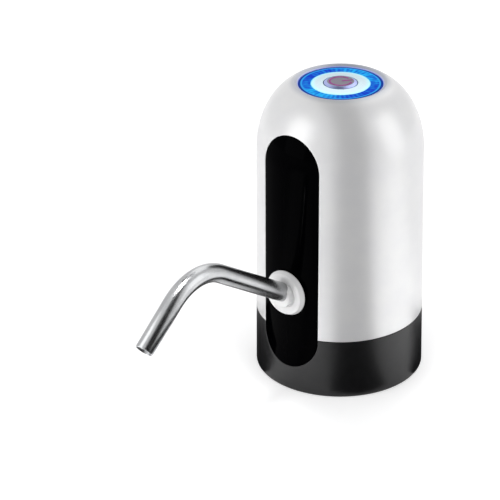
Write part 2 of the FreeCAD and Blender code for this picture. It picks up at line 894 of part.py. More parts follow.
def tilted(shape):
    """Lean a shape modelled about the wobble centre by the drive's tilt."""
    leaned = shape.copy()
    leaned.translate(Vector(0, 0, wobble_centre))
    leaned.rotate(Vector(0, 0, wobble_centre), Vector(0, 1, 0), -wobble_tilt)
    return leaned


def wobble_plate():
    half = wobble_plate_thickness / 2
    hub = rod(wobble_hub_radius, -half, half + wobble_hub_rise)
    arm_width = 4 * knob_radius + 2 * plate_rim
    arms = [hub]
    for x, y in cup_spots():
        angle = math.degrees(math.atan2(y, x))
        arm = block(cup_circle, arm_width, wobble_plate_thickness, cup_circle / 2, 0, -half)
        pad = rod(arm_width / 2, -half, half, cup_circle)
        arms.append(spun(joined([arm, pad]), angle))
    plate = joined(arms)
    for x, y in cup_spots():
        plate = plate.cut(rod(knob_radius + 2 * seat_gap, -half, half, x, y))
    plate = plate.cut(rod(wobble_pin_radius, -half, half + wobble_hub_rise))
    return tilted(plate)


def wobble_pin():
    tip = eccentric_lift + pin_pocket_depth - shaft_end_gap
    return tilted(rod(wobble_pin_radius, -wobble_plate_thickness / 2, tip))


def eccentric_wheel():
    wheel = rod(eccentric_radius, eccentric_floor, eccentric_top)
    pocket = tilted(rod(wobble_pin_radius + spin_gap, 0, eccentric_lift + pin_pocket_depth))
    shaft_hole = rod(shaft_radius, shaft_floor(), motor_top)
    return wheel.cut(pocket).cut(shaft_hole)


def shaft_floor():
    """Lower end of the motor's shaft, above the pocket of the tilted pin."""
    return eccentric_floor + pin_pocket_depth + shaft_end_gap


def motor_shaft():
    return rod(shaft_radius, shaft_floor(), motor_top + end_cap_thickness - end_cap_skin - seat_gap)


def motor_can():
    can = rod(motor_can_radius, chamber_top, motor_top)
    can = can.cut(rod(motor_can_radius - motor_can_wall, chamber_top + motor_can_wall, motor_top))
    can = can.cut(rod(bush_radius, chamber_top, chamber_top + motor_can_wall))
    for hole in motor_screw_hole(motor_screw_radius, chamber_top, chamber_top + motor_can_wall):
        can = can.cut(hole)
    vent = block(motor_can_radius, vent_width, vent_height, motor_can_radius, 0, chamber_top + vent_lift)
    for opening in ring_of(vent, 2):
        can = can.cut(opening)
    return can


def motor_bushes():
    bore = shaft_radius + spin_gap
    front = sleeve(bush_radius, bore, chamber_top - bush_boss, chamber_top + 2 * motor_can_wall)
    bush_top = motor_top + end_cap_thickness - end_cap_skin
    rear = sleeve(bush_radius, bore, motor_top - end_cap_plug, bush_top)
    return [front, rear]


def motor_end_cap():
    cap = rod(motor_can_radius - motor_can_wall - glue_gap, motor_top - end_cap_plug, motor_top)
    cap = joined([cap, rod(motor_can_radius, motor_top, motor_top + end_cap_thickness)])
    cap = cap.cut(rod(bush_radius, motor_top - end_cap_plug, motor_top + end_cap_thickness - end_cap_skin))
    for side in (-1, 1):
        cap = cap.cut(terminal_blade(side))
    return cap


def terminal_blade(side):
    height = end_cap_plug + end_cap_thickness + terminal_height
    x = side * terminal_offset
    return block(terminal_thickness, terminal_width, height, x, 0, motor_top - end_cap_plug)


def motor_terminals():
    return [terminal_blade(side) for side in (-1, 1)]


def field_magnets():
    outer = motor_can_radius - motor_can_wall - glue_gap
    low = chamber_top + motor_can_wall
    ring = sleeve(outer, outer - magnet_thickness, low, low + magnet_length)
    keep_y = motor_can_radius / 2 + magnet_parting
    keep = block(4 * motor_can_radius, motor_can_radius, magnet_length, 0, keep_y, low)
    return ring_of(ring.common(keep), 2)


def armature_radius():
    return motor_can_radius - motor_can_wall - glue_gap - magnet_thickness - air_gap


def armature_floor():
    return chamber_top + motor_can_wall + armature_lift


def slot_centre():
    return armature_radius() - coil_slot_radius - pole_tip


def armature():
    """Laminated core with open round slots between its poles."""
    low = armature_floor()
    high = low + armature_length
    core = sleeve(armature_radius(), shaft_radius, low, high)
    for step in range(armature_poles):
        mouth_x = slot_centre() + armature_radius() / 2
        mouth = block(armature_radius(), slot_mouth, armature_length, mouth_x, 0, low)
        slot = joined([mouth, rod(coil_slot_radius, low, high, slot_centre())])
        core = core.cut(spun(slot, 360.0 * step / armature_poles))
    return core


def windings():
    """Copper through the slots, joined by the end turns over both faces of the core."""
    low = armature_floor()
    high = low + armature_length
    outer = slot_centre() + coil_slot_radius
    turns = [sleeve(outer, shaft_radius + pole_tip, low - end_turn, low)]
    turns.append(sleeve(outer, shaft_radius + pole_tip, high, high + end_turn))
    for step in range(armature_poles):
        coil = rod(coil_slot_radius - seat_gap, low - end_turn / 2, high + end_turn / 2, slot_centre())
        turns.append(spun(coil, 360.0 * step / armature_poles))
    return joined(turns)


def commutator():
    low = motor_top - end_cap_plug - commutator_gap - commutator_length
    drum = sleeve(commutator_radius, shaft_radius, low, low + commutator_length)
    slit_x = shaft_radius + commutator_slit + commutator_radius / 2
    slit = block(commutator_radius, commutator_slit, commutator_length, slit_x, 0, low)
    for gap in ring_of(slit, armature_poles):
        drum = drum.cut(gap)
    return drum


def motor_screw_hole(radius, low, high):
    return ring_of(rod(radius, low, high, motor_screw_offset), 2)


def motor_screws():
    """Two screws up through the chamber's roof into the motor's front."""
    under = chamber_top - chamber_roof
    heads = motor_screw_hole(motor_screw_head, under - motor_screw_radius, under)
    shanks = motor_screw_hole(motor_screw_radius - slide_gap, under, chamber_top + motor_can_wall)
    return [joined([head, shank]) for head, shank in zip(heads, shanks)]


def straight_hose(low, high):
    return sleeve(hose_radius, nozzle_radius + hose_fit, low, high)


def intake_hose():
    low = ceiling_top + washer_thickness + nipple_flange_thickness
    return straight_hose(low, pump_floor)


def outlet_socket_back():
    """Distance in front of the axis where the outlet socket's back wall ends."""
    return collar_back - barrel_length - socket_back_wall - seat_gap


def delivery_hose():
    return facing_front(straight_hose(pump_radius, outlet_socket_back()))


def hose_clips():
    def clip(low):
        return sleeve(hose_radius + clip_thickness, hose_radius, low, low + clip_width)
    intake_low = ceiling_top + washer_thickness + nipple_flange_thickness + clip_inset
    intake_high = pump_floor - clip_inset - clip_width
    front_low = pump_radius + clip_inset
    front_high = outlet_socket_back() - clip_inset - clip_width
    clips = [clip(intake_low), clip(intake_high)]
    clips += [facing_front(clip(front_low)), facing_front(clip(front_high))]
    return clips


def outlet_socket():
    back = outlet_socket_back()
    bore_floor = back + socket_back_wall
    pad_face = side_radius(outlet_height) - outlet_pad_depth
    bore = barrel_radius + slide_gap
    tube = bore + socket_tube_wall
    front = math.sqrt((side_radius(outlet_height) - panel_recess) ** 2 - tube ** 2) - 2 * glue_gap
    socket = turned([
        (nozzle_bore, back - hose_overlap),
        (nozzle_radius, back - hose_overlap),
        (nozzle_radius, back),
        (tube, back),
        (tube, pad_face - outlet_flange_thickness),
        (outlet_flange_radius, pad_face - outlet_flange_thickness),
        (outlet_flange_radius, pad_face),
        (tube, pad_face),
        (tube, front),
        (bore, front),
        (bore, bore_floor),
        (nozzle_bore, bore_floor),
    ])
    for side in (-1, 1):
        socket = socket.cut(rod(outlet_screw_radius + seat_gap, 0, pad_face, side * outlet_screw_offset))
    return facing_front(socket)


def outlet_screw_tip():
    """Distance in front of the axis that the outlet screws reach."""
    return side_radius(outlet_height) - outlet_pad_depth - outlet_flange_thickness + outlet_screw_length


def outlet_screws():
    under = outlet_screw_tip() - outlet_screw_length
    screws = []
    for side in (-1, 1):
        head = rod(2 * outlet_screw_radius, under - outlet_screw_radius, under, side * outlet_screw_offset)
        shank = rod(outlet_screw_radius - slide_gap, under, outlet_screw_tip(), side * outlet_screw_offset)
        screws.append(facing_front(joined([head, shank])))
    return screws


def spout_path():
    """The tube's centre line: a level stub, a rise, one round bend and a fall to the tip."""
    rise = math.radians(spout_rise_angle)
    fall = math.radians(spout_fall_angle)
    across_run = spout_reach - spout_elbow_start
    drop = outlet_height - spout_tip_height
    rise_run = (across_run * math.tan(fall) - drop) / (math.tan(rise) + math.tan(fall))
    corners = [
        (collar_back - spout_stub, outlet_height),
        (spout_elbow_start, outlet_height),
        (spout_elbow_start + rise_run, outlet_height + rise_run * math.tan(rise)),
        (spout_reach, spout_tip_height),
    ]
    corners = [Vector(0, -distance, height) for distance, height in corners]
    edges = []
    start = corners[0]
    for index, radius in ((1, spout_elbow_bend), (2, spout_bend)):
        back = (corners[index - 1] - corners[index]).normalize()
        ahead = (corners[index + 1] - corners[index]).normalize()
        half_turn = (math.pi - back.getAngle(ahead)) / 2
        reach = radius * math.tan(half_turn)
        bulge = radius / math.cos(half_turn) - radius
        middle = corners[index] + (back + ahead).normalize() * bulge
        arc_start = corners[index] + back * reach
        arc_end = corners[index] + ahead * reach
        edges.append(Part.LineSegment(start, arc_start).toShape())
        edges.append(Part.Arc(arc_start, middle, arc_end).toShape())
        start = arc_end
    edges.append(Part.LineSegment(start, corners[3]).toShape())
    return Part.Wire(edges)


def spout_tube():
    path = spout_path()
    return swept(path, spout_radius).cut(swept(path, spout_radius - spout_wall))


def outlet_collar():
    """Moulded round the tube: a barrel with a seal groove, a flared flange and a raised hub."""
    back = collar_back - barrel_length
    face = collar_back + collar_rim
    groove = o_ring_centre()
    half = o_ring_section + o_ring_slack
    groove_floor = barrel_radius - 2 * o_ring_section - o_ring_slack
    hub_foot = face + collar_face_rise
    hub_top = hub_foot + collar_hub_height
    crest_inset, crest_rise = collar_crest
    hollow_inset, hollow_rise = collar_hollow
    corners = [
        (0, back), (barrel_radius - barrel_chamfer, back), (barrel_radius, back + barrel_chamfer),
        (barrel_radius, groove - half), (groove_floor, groove - half),
        (groove_floor, groove + half), (barrel_radius, groove + half),
        (barrel_radius, collar_back), (collar_radius, collar_back),
        (collar_radius, collar_back + collar_edge), (collar_front_radius, face),
    ]
    points = [Vector(radius, 0, height) for radius, height in corners]
    face_line = Part.BSplineCurve()
    face_line.interpolate([
        points[-1],
        Vector(collar_front_radius - crest_inset, 0, face + crest_rise),
        Vector(collar_front_radius - hollow_inset, 0, face + hollow_rise),
        Vector(collar_hub_radius, 0, hub_foot),
    ])
    hub = [Vector(collar_hub_radius, 0, hub_foot), Vector(collar_hub_radius - collar_hub_taper, 0, hub_top)]
    hub += [Vector(0, 0, hub_top), points[0]]
    edges = [Part.LineSegment(a, b).toShape() for a, b in zip(points, points[1:])]
    edges.append(face_line.toShape())
    edges += [Part.LineSegment(a, b).toShape() for a, b in zip(hub, hub[1:])]
    collar = facing_front(Part.Face(Part.Wire(edges)).revolve(ORIGIN, UP, 360))
    collar = collar.cut(facing_front(rod(spout_radius - spout_wall, 0, collar_back - spout_stub)))
    return collar.cut(swept(spout_path(), spout_radius))


def o_ring_centre():
    """Distance in front of the axis of the seal ring's middle."""
    return collar_back - o_ring_setback


def collar_o_ring():
    centre = barrel_radius - o_ring_section + slide_gap / 2
    return facing_front(Part.makeTorus(centre, o_ring_section, Vector(0, 0, o_ring_centre())))


def light_ring():
    ring = sleeve(ring_outer_radius, ring_inner_radius, ring_floor, ring_top)
    ring = bevel_edges(ring, ring_bevel, lambda e: circle_at(e, ring_outer_radius, ring_top))
    half_width = math.pi * ring_inner_radius / ring_facets * ring_facet_share
    corners = [
        Vector(0, -half_width, ring_floor),
        Vector(0, 0, ring_floor + ring_facet_depth),
        Vector(0, half_width, ring_floor),
    ]
    notch = Part.Face(Part.makePolygon(corners + [corners[0]])).extrude(Vector(2 * ring_outer_radius, 0, 0))
    notch.translate(Vector(ring_inner_radius / 2, 0, 0))
    inside_edge = rod(ring_outer_radius - ring_shelf, ring_floor - cut_reach, ring_top)
    notches = [tooth.common(inside_edge) for tooth in ring_of(notch, ring_facets)]
    return ring.cut(Part.makeCompound(notches))


def trim_dish():
    outer = ring_inner_radius - seat_gap
    inner = button_radius + button_gap
    crest = ring_top + dish_rise
    return turned([
        (outer, light_board_top),
        (outer, ring_top),
        (inner, crest),
        (inner, sleeve_floor),
        (inner + dish_wall, sleeve_floor),
        (inner + dish_wall, crest - dish_wall),
        (outer - dish_wall, ring_top - dish_wall),
        (outer - dish_wall, light_board_top),
    ])


def icon_outline(grow, low, high):
    """Power symbol: an open ring and a bar through its gap."""
    outer = icon_ring_radius + icon_stroke / 2 + grow
    inner = icon_ring_radius - icon_stroke / 2 - grow
    ring = sleeve(outer, inner, low, high)
    half_gap = math.radians(icon_gap_angle / 2)
    reach = 2 * icon_ring_radius
    spread = reach * math.tan(half_gap)
    corners = [Vector(0, 0, low), Vector(reach, -spread, low), Vector(reach, spread, low)]
    gap = Part.Face(Part.makePolygon(corners + [corners[0]])).extrude(Vector(0, 0, high - low))
    gap.translate(Vector(2 * grow, 0, 0))
    bar_width = icon_stroke + 2 * grow
    bar_start = icon_bar_start - grow
    bar_end = icon_ring_radius + icon_stroke + grow
    bar = block(bar_end - bar_start, bar_width, high - low, (bar_start + bar_end) / 2, 0, low)
    return [spun(ring.cut(gap), icon_turn), spun(bar, icon_turn)]


def button_cap():
    foot = sleeve_floor - 2 * seat_gap
    hollow = button_radius - button_wall
    cap = turned([
        (0, button_top),
        (button_radius - 2 * button_bevel, button_top),
        (button_radius, button_top - button_bevel),
        (button_radius, foot),
        (button_radius + button_lip, foot),
        (button_radius + button_lip, foot - button_lip_height),
        (hollow, foot - button_lip_height),
        (hollow, button_top - button_skin),
        (0, button_top - button_skin),
    ])
    for mark in icon_outline(icon_groove, button_top - icon_depth, button_top + cut_reach):
        cap = cap.cut(mark)
    return cap


def button_icon():
    return icon_outline(0, button_top - icon_depth, button_top + icon_proud)


def switch_plunger_top():
    return light_board_top + switch_height + switch_plunger_show


def switch_plunger_foot():
    return light_board_top + switch_height - button_travel - switch_plunger_sunk


def button_stem():
    under = button_top - button_skin
    plate = rod(button_radius - button_wall - seat_gap, under - stem_plate, under)
    return joined([plate, rod(stem_radius, switch_plunger_top(), under - stem_plate)])


def switch_plunger():
    return rod(switch_plunger_radius, switch_plunger_foot(), switch_plunger_top())


def tact_switch():
    body = block(switch_size, switch_size, switch_height, 0, 0, light_board_top)
    low = switch_plunger_foot() - button_travel - seat_gap
    return body.cut(rod(switch_plunger_radius + spin_gap, low, light_board_top + switch_height))


def light_board():
    low = light_board_top - board_thickness
    return rod(light_board_radius, low, light_board_top)


def led_chips():
    chip = block(led_size, led_size, led_height, led_circle, 0, light_board_top)
    return ring_of(chip, led_count, led_turn)


def light_carrier():
    """Dish under the light board, with three arms out to its screws."""
    floor = carrier_floor
    top = floor + carrier_thickness
    inner = light_board_radius + seat_gap
    plate = sleeve(inner + carrier_rim, carrier_eye, floor, top)
    rim = sleeve(inner + carrier_rim, inner, top, shelf_floor - seat_gap)
    arm_length = carrier_screw_circle - light_board_radius
    arm_x = light_board_radius + arm_length / 2
    arm = block(arm_length, carrier_arm_width, carrier_thickness, arm_x, 0, floor)
    pad = rod(carrier_boss_radius, floor, top, carrier_screw_circle)
    carrier = joined([plate, rim] + ring_of(joined([arm, pad]), carrier_screw_count, carrier_turn))
    hole = rod(carrier_screw_radius + seat_gap, floor, top, carrier_screw_circle)
    for opening in ring_of(hole, carrier_screw_count, carrier_turn):
        carrier = carrier.cut(opening)
    return carrier


def carrier_screws():
    floor = carrier_floor
    head = rod(carrier_screw_head, floor - carrier_screw_head_height, floor, carrier_screw_circle)
    shank = rod(carrier_screw_radius - slide_gap, floor, floor + carrier_screw_length, carrier_screw_circle)
    return ring_of(joined([head, shank]), carrier_screw_count, carrier_turn)


def battery_cell():
    high = cell_floor + cell_length
    cell = rod(cell_radius, cell_floor, high, cell_x)
    return joined([cell, rod(cell_nub_radius, high, high + cell_nub_height, cell_x)])


def battery_pad():
    return rod(cell_radius - cradle_wall, cell_floor - pad_thickness, cell_floor - tab_thickness, cell_x)


def battery_tabs():
    top = cell_floor + cell_length + cell_nub_height
    upper = block(upper_tab_length, tab_width, tab_thickness, cell_x, 0, top)
    lower = block(lower_tab_length, tab_width, tab_thickness, cell_x, 0, cell_floor - tab_thickness)
    return [upper, lower]


def control_board():
    board = block(control_board_width, board_thickness, control_board_height, 0,
                  control_board_back - board_thickness / 2, control_board_floor)
    for side in (-1, 1):
        board = board.cut(board_screw_hole(side))
    return board


def board_parts():
    """Chips, coil and capacitors on the inner face of the control board."""
    face = control_board_back - board_thickness
    return [block(width, depth, height, x, face - depth / 2, control_board_floor + lift)
            for width, depth, height, x, lift in board_part_sizes]


def usb_socket():
    """Charge socket: a thin shell with a tongue, its mouth in the pocket's floor."""
    mouth = port_face() - seat_gap
    low = control_board_back
    length = mouth - low
    depth = length - port_back_wall
    shell = block(port_width, length, port_thickness, 0, low + length / 2, port_height - port_thickness / 2)
    floor = port_height - port_thickness / 2 + port_shell
    hollow_y = mouth - depth / 2
    hollow = block(port_width - 2 * port_shell, depth, port_thickness - 2 * port_shell, 0, hollow_y, floor)
    tongue_length = length - tongue_setback
    tongue_y = low + tongue_length / 2
    tongue_floor = port_height - tongue_thickness / 2
    tongue = block(tongue_width, tongue_length, tongue_thickness, 0, tongue_y, tongue_floor)
    return joined([shell.cut(hollow), tongue])


def lead(points):
    path, radii = bent_path(points)
    print("lead bends, tightest radius", round(min(radii), 2))
    return swept(path, lead_radius)


def board_landing(x):
    """Last two points of a lead: down the inner face of the control board."""
    board_top = control_board_floor + control_board_height
    y = control_board_back - board_thickness - lead_radius
    return [(x, y, board_top + lead_entry_height), (x, y, board_top - lead_landing)]


def motor_leads():
    """Two wires from the motor's blades down to the control board."""
    start = motor_top + end_cap_thickness + terminal_height
    wires = []
    for side in (-1, 1):
        points = [(side * terminal_offset, 0, start)]
        for spread, (y, lift) in zip(motor_lead_spread, motor_lead_route):
            points.append((side * spread, y, start + lift))
        wires.append(lead(points + board_landing(side * motor_lead_x)))
    return wires


def battery_leads():
    """Two wires from the cell's upper tab to the control board."""
    start = cell_floor + cell_length + cell_nub_height + tab_thickness + lead_radius
    wires = []
    for step in (0, 1):
        shift = step * lead_spacing
        points = [(cell_x - battery_lead_inset[0] - shift, 0, start)]
        for inset, (y, lift) in zip(battery_lead_inset, battery_lead_route):
            points.append((cell_x - inset - shift, y, start + lift))
        wires.append(lead(points + board_landing(battery_lead_x + lead_spacing - shift)))
    return wires


def light_leads():
    """Three wires from the underside of the light board down to the control board."""
    start = light_board_top - board_thickness
    wires = []
    for step in (-1, 0, 1):
        x = step * lead_spacing
        points = [(x, light_lead_route[0][0], start)]
        points += [(x, y, start + lift) for y, lift in light_lead_route]
        wires.append(lead(points + board_landing(x)))
    return wires


NODES = {
    "upper_shell": upper_shell,
    "base_housing": base_housing,
    "front_panel": front_panel,
    "neck_grip_ring": neck_grip_ring,
    "casing_screws": casing_screws,
    "intake_nipple": intake_nipple,
    "nipple_washer": nipple_washer,
    "inner_frame": inner_frame,
    "board_screws": board_screws,
    "pump_head": pump_head,
    "valve_plate": valve_plate,
    "check_valves": check_valves,
    "diaphragm": diaphragm,
    "cup_seat": cup_seat,
    "wobble_chamber": wobble_chamber,
    "pump_screws": pump_screws,
    "wobble_plate": wobble_plate,
    "wobble_pin": wobble_pin,
    "eccentric_wheel": eccentric_wheel,
    "motor_shaft": motor_shaft,
    "motor_can": motor_can,
    "motor_bushes": motor_bushes,
    "motor_end_cap": motor_end_cap,
    "motor_terminals": motor_terminals,
    "motor_screws": motor_screws,
    "field_magnets": field_magnets,
    "armature": armature,
    "windings": windings,
    "commutator": commutator,
    "intake_hose": intake_hose,
    "delivery_hose": delivery_hose,
    "hose_clips": hose_clips,
    "outlet_socket": outlet_socket,
    "outlet_screws": outlet_screws,
    "outlet_collar": outlet_collar,
    "collar_o_ring": collar_o_ring,
    "spout_tube": spout_tube,
    "light_ring": light_ring,
    "trim_dish": trim_dish,
    "button_cap": button_cap,
    "button_icon": button_icon,
    "button_stem": button_stem,
    "switch_plunger": switch_plunger,
    "tact_switch": tact_switch,
    "light_board": light_board,
    "led_chips": led_chips,
    "light_carrier": light_carrier,
    "carrier_screws": carrier_screws,
    "battery_cell": battery_cell,
    "battery_pad": battery_pad,
    "battery_tabs": battery_tabs,
    "control_board": control_board,
    "board_parts": board_parts,
    "usb_socket": usb_socket,
    "motor_leads": motor_leads,
    "battery_leads": battery_leads,
    "light_leads": light_leads,
}


os.makedirs("parts", exist_ok=True)
for node, make in NODES.items():
    made = make()
    if isinstance(made, list):
        made = Part.makeCompound(made)
    made.exportStep("parts/" + node + ".step")
    print(node, len(made.Solids), round(made.Volume, 1), made.isValid())
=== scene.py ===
# %% [markdown]
# # A table pump with a swivelling spout
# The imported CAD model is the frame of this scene. It says where every part is and which body it
# moves with. Each cell takes one part of the look, says how the real piece is made, and builds or
# finishes it. Sizes are in millimetres, and become metres where a mesh or a node is made.

# %% Load the frame
import json
import math
import bmesh
import bpy
from mathutils import Matrix, Vector


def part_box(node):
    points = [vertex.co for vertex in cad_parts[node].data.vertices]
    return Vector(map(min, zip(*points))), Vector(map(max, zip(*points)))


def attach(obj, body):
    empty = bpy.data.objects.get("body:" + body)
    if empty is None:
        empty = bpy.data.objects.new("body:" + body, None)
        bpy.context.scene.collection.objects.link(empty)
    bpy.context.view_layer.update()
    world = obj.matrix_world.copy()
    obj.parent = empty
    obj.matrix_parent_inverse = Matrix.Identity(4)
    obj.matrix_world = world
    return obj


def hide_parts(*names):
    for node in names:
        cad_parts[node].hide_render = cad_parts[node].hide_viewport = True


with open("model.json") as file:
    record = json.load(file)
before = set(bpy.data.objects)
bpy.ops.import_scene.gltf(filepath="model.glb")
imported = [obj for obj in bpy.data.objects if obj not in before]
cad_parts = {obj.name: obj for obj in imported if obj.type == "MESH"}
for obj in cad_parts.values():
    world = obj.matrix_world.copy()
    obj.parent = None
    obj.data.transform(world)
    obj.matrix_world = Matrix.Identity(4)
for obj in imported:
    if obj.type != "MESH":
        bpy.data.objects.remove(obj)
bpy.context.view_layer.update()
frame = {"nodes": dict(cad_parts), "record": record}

print("CAD nodes:", len(frame["nodes"]))

# %% [markdown]
# ## Units, colours and one way to add a node
# Blender works in metres and in linear light, while a maker writes millimetres and hex colours.
# Two small functions bridge that gap. Two others add a node with its settings and its inputs in
# one call, so that every tree below reads as a list of what it does.

# %% Units, colours and nodes
MM = 0.001
FULL_TURN = 2 * math.pi


def linear(hex_colour):
    """The linear colour of an sRGB hex value."""
    channels = [int(hex_colour[start:start + 2], 16) / 255 for start in (1, 3, 5)]
    return [c / 12.92 if c <= 0.04045 else ((c + 0.055) / 1.055) ** 2.4 for c in channels] + [1.0]


def add(tree, kind, inputs=None, **settings):
    """Add a node and return its outputs. Inputs go by name or number: a value or a socket."""
    node = tree.nodes.new(kind)
    for setting, value in settings.items():
        setattr(node, setting, value)
    for key, value in (inputs or {}).items():
        if isinstance(value, bpy.types.NodeSocket):
            tree.links.new(value, node.inputs[key])
        else:
            node.inputs[key].default_value = value
    return node.outputs


def maths(tree, operation, *values):
    """The result of a maths node. Each value is a number or a socket."""
    return add(tree, "ShaderNodeMath", dict(enumerate(values)), operation=operation)[0]


def measure(node, axis=2):
    """Where a CAD node starts and ends along an axis, upwards if not told, in mm."""
    return [(Vector(corner) / MM)[axis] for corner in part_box(node)]


def in_scene(name, data):
    """A new object in the scene."""
    thing = bpy.data.objects.new(name, data)
    bpy.context.scene.collection.objects.link(thing)
    return thing


# %% [markdown]
# ## The camera
# The photograph looks down on the pump from its front right, 38 degrees round from the spout and
# about 27 degrees above the table, through a long lens. The camera was solved from the ellipses
# of the crown and the foot, so it needs no shift and no depth of field.

# %% The camera
CAMERA_PLACE = Vector((552.5, -707.2, 508.0))
CAMERA_YAW, CAMERA_PITCH, CAMERA_ROLL = (math.radians(a) for a in (40.485, 26.894, -0.772))
CAMERA_LENS = 166.5

camera = in_scene("camera", bpy.data.cameras.new("camera"))
bpy.context.scene.camera = camera
aim = Matrix.Rotation(CAMERA_YAW, 4, "Z") @ Matrix.Rotation(math.pi / 2 - CAMERA_PITCH, 4, "X")
roll = Matrix.Rotation(CAMERA_ROLL, 4, "Z")
camera.matrix_world = Matrix.Translation(CAMERA_PLACE * MM) @ aim @ roll
camera.data.lens = CAMERA_LENS
camera.data.clip_end = 10.0
print("camera at", [round(v) for v in CAMERA_PLACE], "mm, lens", CAMERA_LENS, "mm")

# %% [markdown]
# ## The studio
# A product like this is shot in a white tent, on a matt white board that keeps its shadow. The
# world is a soft, even light. What the camera or a mirror sees of the tent is a plain white,
# which adds no light to the pump, and the board fades into that white long before its edge.

# %% Trees and cards for the studio
def bare_tree(owner):
    """The emptied node tree of a world or a material."""
    owner.use_nodes = True
    owner.node_tree.nodes.clear()
    return owner.node_tree


def object_place(tree):
    """The object's own coordinates, in metres."""
    return add(tree, "ShaderNodeTexCoord")["Object"]


def shown_as(tree, real, shown):
    """Light comes from real. The camera, a mirror and a look through a clear piece see shown."""
    rays = add(tree, "ShaderNodeLightPath")
    seen = maths(tree, "MAXIMUM", rays["Is Camera Ray"], rays["Is Glossy Ray"])
    seen = maths(tree, "MAXIMUM", seen, rays["Is Transmission Ray"])
    return add(tree, "ShaderNodeMixShader", {0: seen, 1: real, 2: shown})[0]


def studio_card(name, points, faces, material, hidden=False):
    """A flat piece of the studio, from points in mm. Only glossy surfaces see a hidden one."""
    mesh = bpy.data.meshes.new(name)
    mesh.from_pydata([Vector(point) * MM for point in points], [], faces)
    mesh.materials.append(material)
    card = in_scene(name, mesh)
    if hidden:
        card.visible_camera = card.visible_diffuse = False
        card.visible_shadow = card.visible_transmission = False


# %% The tent and the board
TENT_LIGHT = 0.65
BOARD_HALF = 900.0
BOARD_LIFT = 0.42
FADE_START, FADE_END = 380.0, 840.0

world = bpy.data.worlds.new("white_tent")
bpy.context.scene.world = world
tent = bare_tree(world)
even = add(tent, "ShaderNodeBackground", {"Color": linear("#f6f6f7"), "Strength": TENT_LIGHT})[0]
white = add(tent, "ShaderNodeBackground", {"Color": linear("#ffffff"), "Strength": 1.0})[0]
add(tent, "ShaderNodeOutputWorld", {"Surface": shown_as(tent, even, white)})

board = bpy.data.materials.new("matt_white_board")
paint = bare_tree(board)
matt = add(paint, "ShaderNodeBsdfDiffuse", {"Color": linear("#ececec")})[0]
away = add(paint, "ShaderNodeVectorMath", {0: object_place(paint)}, operation="LENGTH")["Value"]
fade = add(paint, "ShaderNodeMapRange", {
    "Value": away, "From Min": FADE_START * MM, "From Max": FADE_END * MM,
    "To Min": BOARD_LIFT, "To Max": 1.0})[0]
lift = add(paint, "ShaderNodeEmission", {"Color": linear("#ffffff"), "Strength": fade})[0]
lifted = add(paint, "ShaderNodeAddShader", {0: matt, 1: lift})[0]
add(paint, "ShaderNodeOutputMaterial", {"Surface": shown_as(paint, matt, lifted)})

corners = [(x * BOARD_HALF, y * BOARD_HALF, 0) for x, y in ((-1, -1), (1, -1), (1, 1), (-1, 1))]
studio_card("board", corners, [(0, 1, 2, 3)], board)
bpy.context.scene.view_settings.view_transform = "Standard"
print("board:", 2 * BOARD_HALF, "mm wide")

# %% [markdown]
# ## Lamps
# A glossy cylinder shows where the lights stand: two tall soft boxes give the pearly side its two
# bright bands, and a third one behind lights the crown. The camera looks down, though, so the
# lower side mirrors the board and not the boxes. So two lamps light a patch of the board under
# each box, and the bands run on to the base.

# %% The lamps
# Each soft box: azimuth from the front and height angle, both in degrees, then its distance,
# width and height in mm, and its power in watts.
SOFT_BOXES = {
    "side_box": (117.0, 20.0, 700.0, 400.0, 600.0, 0.95),
    "front_box": (-25.0, 20.0, 700.0, 400.0, 600.0, 1.2),
    "back_box": (205.0, 48.0, 800.0, 700.0, 600.0, 1.1),
}
# Each board lamp hangs over the board and lights a patch beside the pump: azimuth, near and far
# end of the patch, its width in mm, and power in watts.
BOARD_LAMPS = {
    "right_patch": (113.0, 60.0, 330.0, 130.0, 0.09),
    "left_patch": (-16.0, 60.0, 330.0, 110.0, 0.125),
}
AIM = Vector((0, 0, 70))
UPWARDS = Vector((0, 0, 1))
PATCH_LAMP_HEIGHT = 250.0
PATCH_SPREAD = math.radians(16)


def bearing(azimuth, elevation=0.0):
    """The direction from the pump at an azimuth from its front and an elevation, in degrees."""
    a, e = math.radians(azimuth), math.radians(elevation)
    return Vector((math.sin(a) * math.cos(e), -math.cos(a) * math.cos(e), math.sin(e)))


def area_lamp(name, place, across, back, width, height, power, spread=math.pi):
    """A rectangular lamp. Its width runs across, and back is the direction behind it."""
    data = bpy.data.lights.new(name, "AREA")
    data.shape = "RECTANGLE"
    data.size, data.size_y = width * MM, height * MM
    data.energy, data.spread = power, spread
    axes = Matrix((across, back.cross(across), back)).transposed().to_4x4()
    in_scene(name, data).matrix_world = Matrix.Translation(place * MM) @ axes


for name, (azimuth, elevation, distance, *box) in SOFT_BOXES.items():
    back = bearing(azimuth, elevation)
    area_lamp(name, AIM + back * distance, bearing(azimuth + 90), back, *box)
for name, (azimuth, near, far, width, power) in BOARD_LAMPS.items():
    place = bearing(azimuth) * (near + far) / 2 + UPWARDS * PATCH_LAMP_HEIGHT
    area_lamp(name, place, bearing(azimuth + 90), UPWARDS, width, far - near, power, PATCH_SPREAD)
print("lamps:", ", ".join([*SOFT_BOXES, *BOARD_LAMPS]))

# %% [markdown]
# ## Black flags
# White on white has no edges, so photographers give it some: they hold black cards, called
# flags, where the surface mirrors them but the camera doesn't see them. Here that is exact,
# because a card can be left out for all rays but the glossy ones. One long card makes the darker
# band down the middle of the casing, and two small ones darken the base where it ends.

# %% The long flag
# It lies on the board in front of the pump, stands up behind the camera and bends over the top.
FLAG_MIDDLE = 54.5
CARD_LIFT = 0.5
# The flag's section: distance from the pump's axis, height above the board, and half width.
FLAG_SECTION = (
    (38.0, CARD_LIFT, 16.0), (860.0, CARD_LIFT, 374.0), (860.0, 700.0, 390.0),
    (500.0, 1100.0, 380.0), (-100.0, 1250.0, 330.0), (-700.0, 1000.0, 220.0))

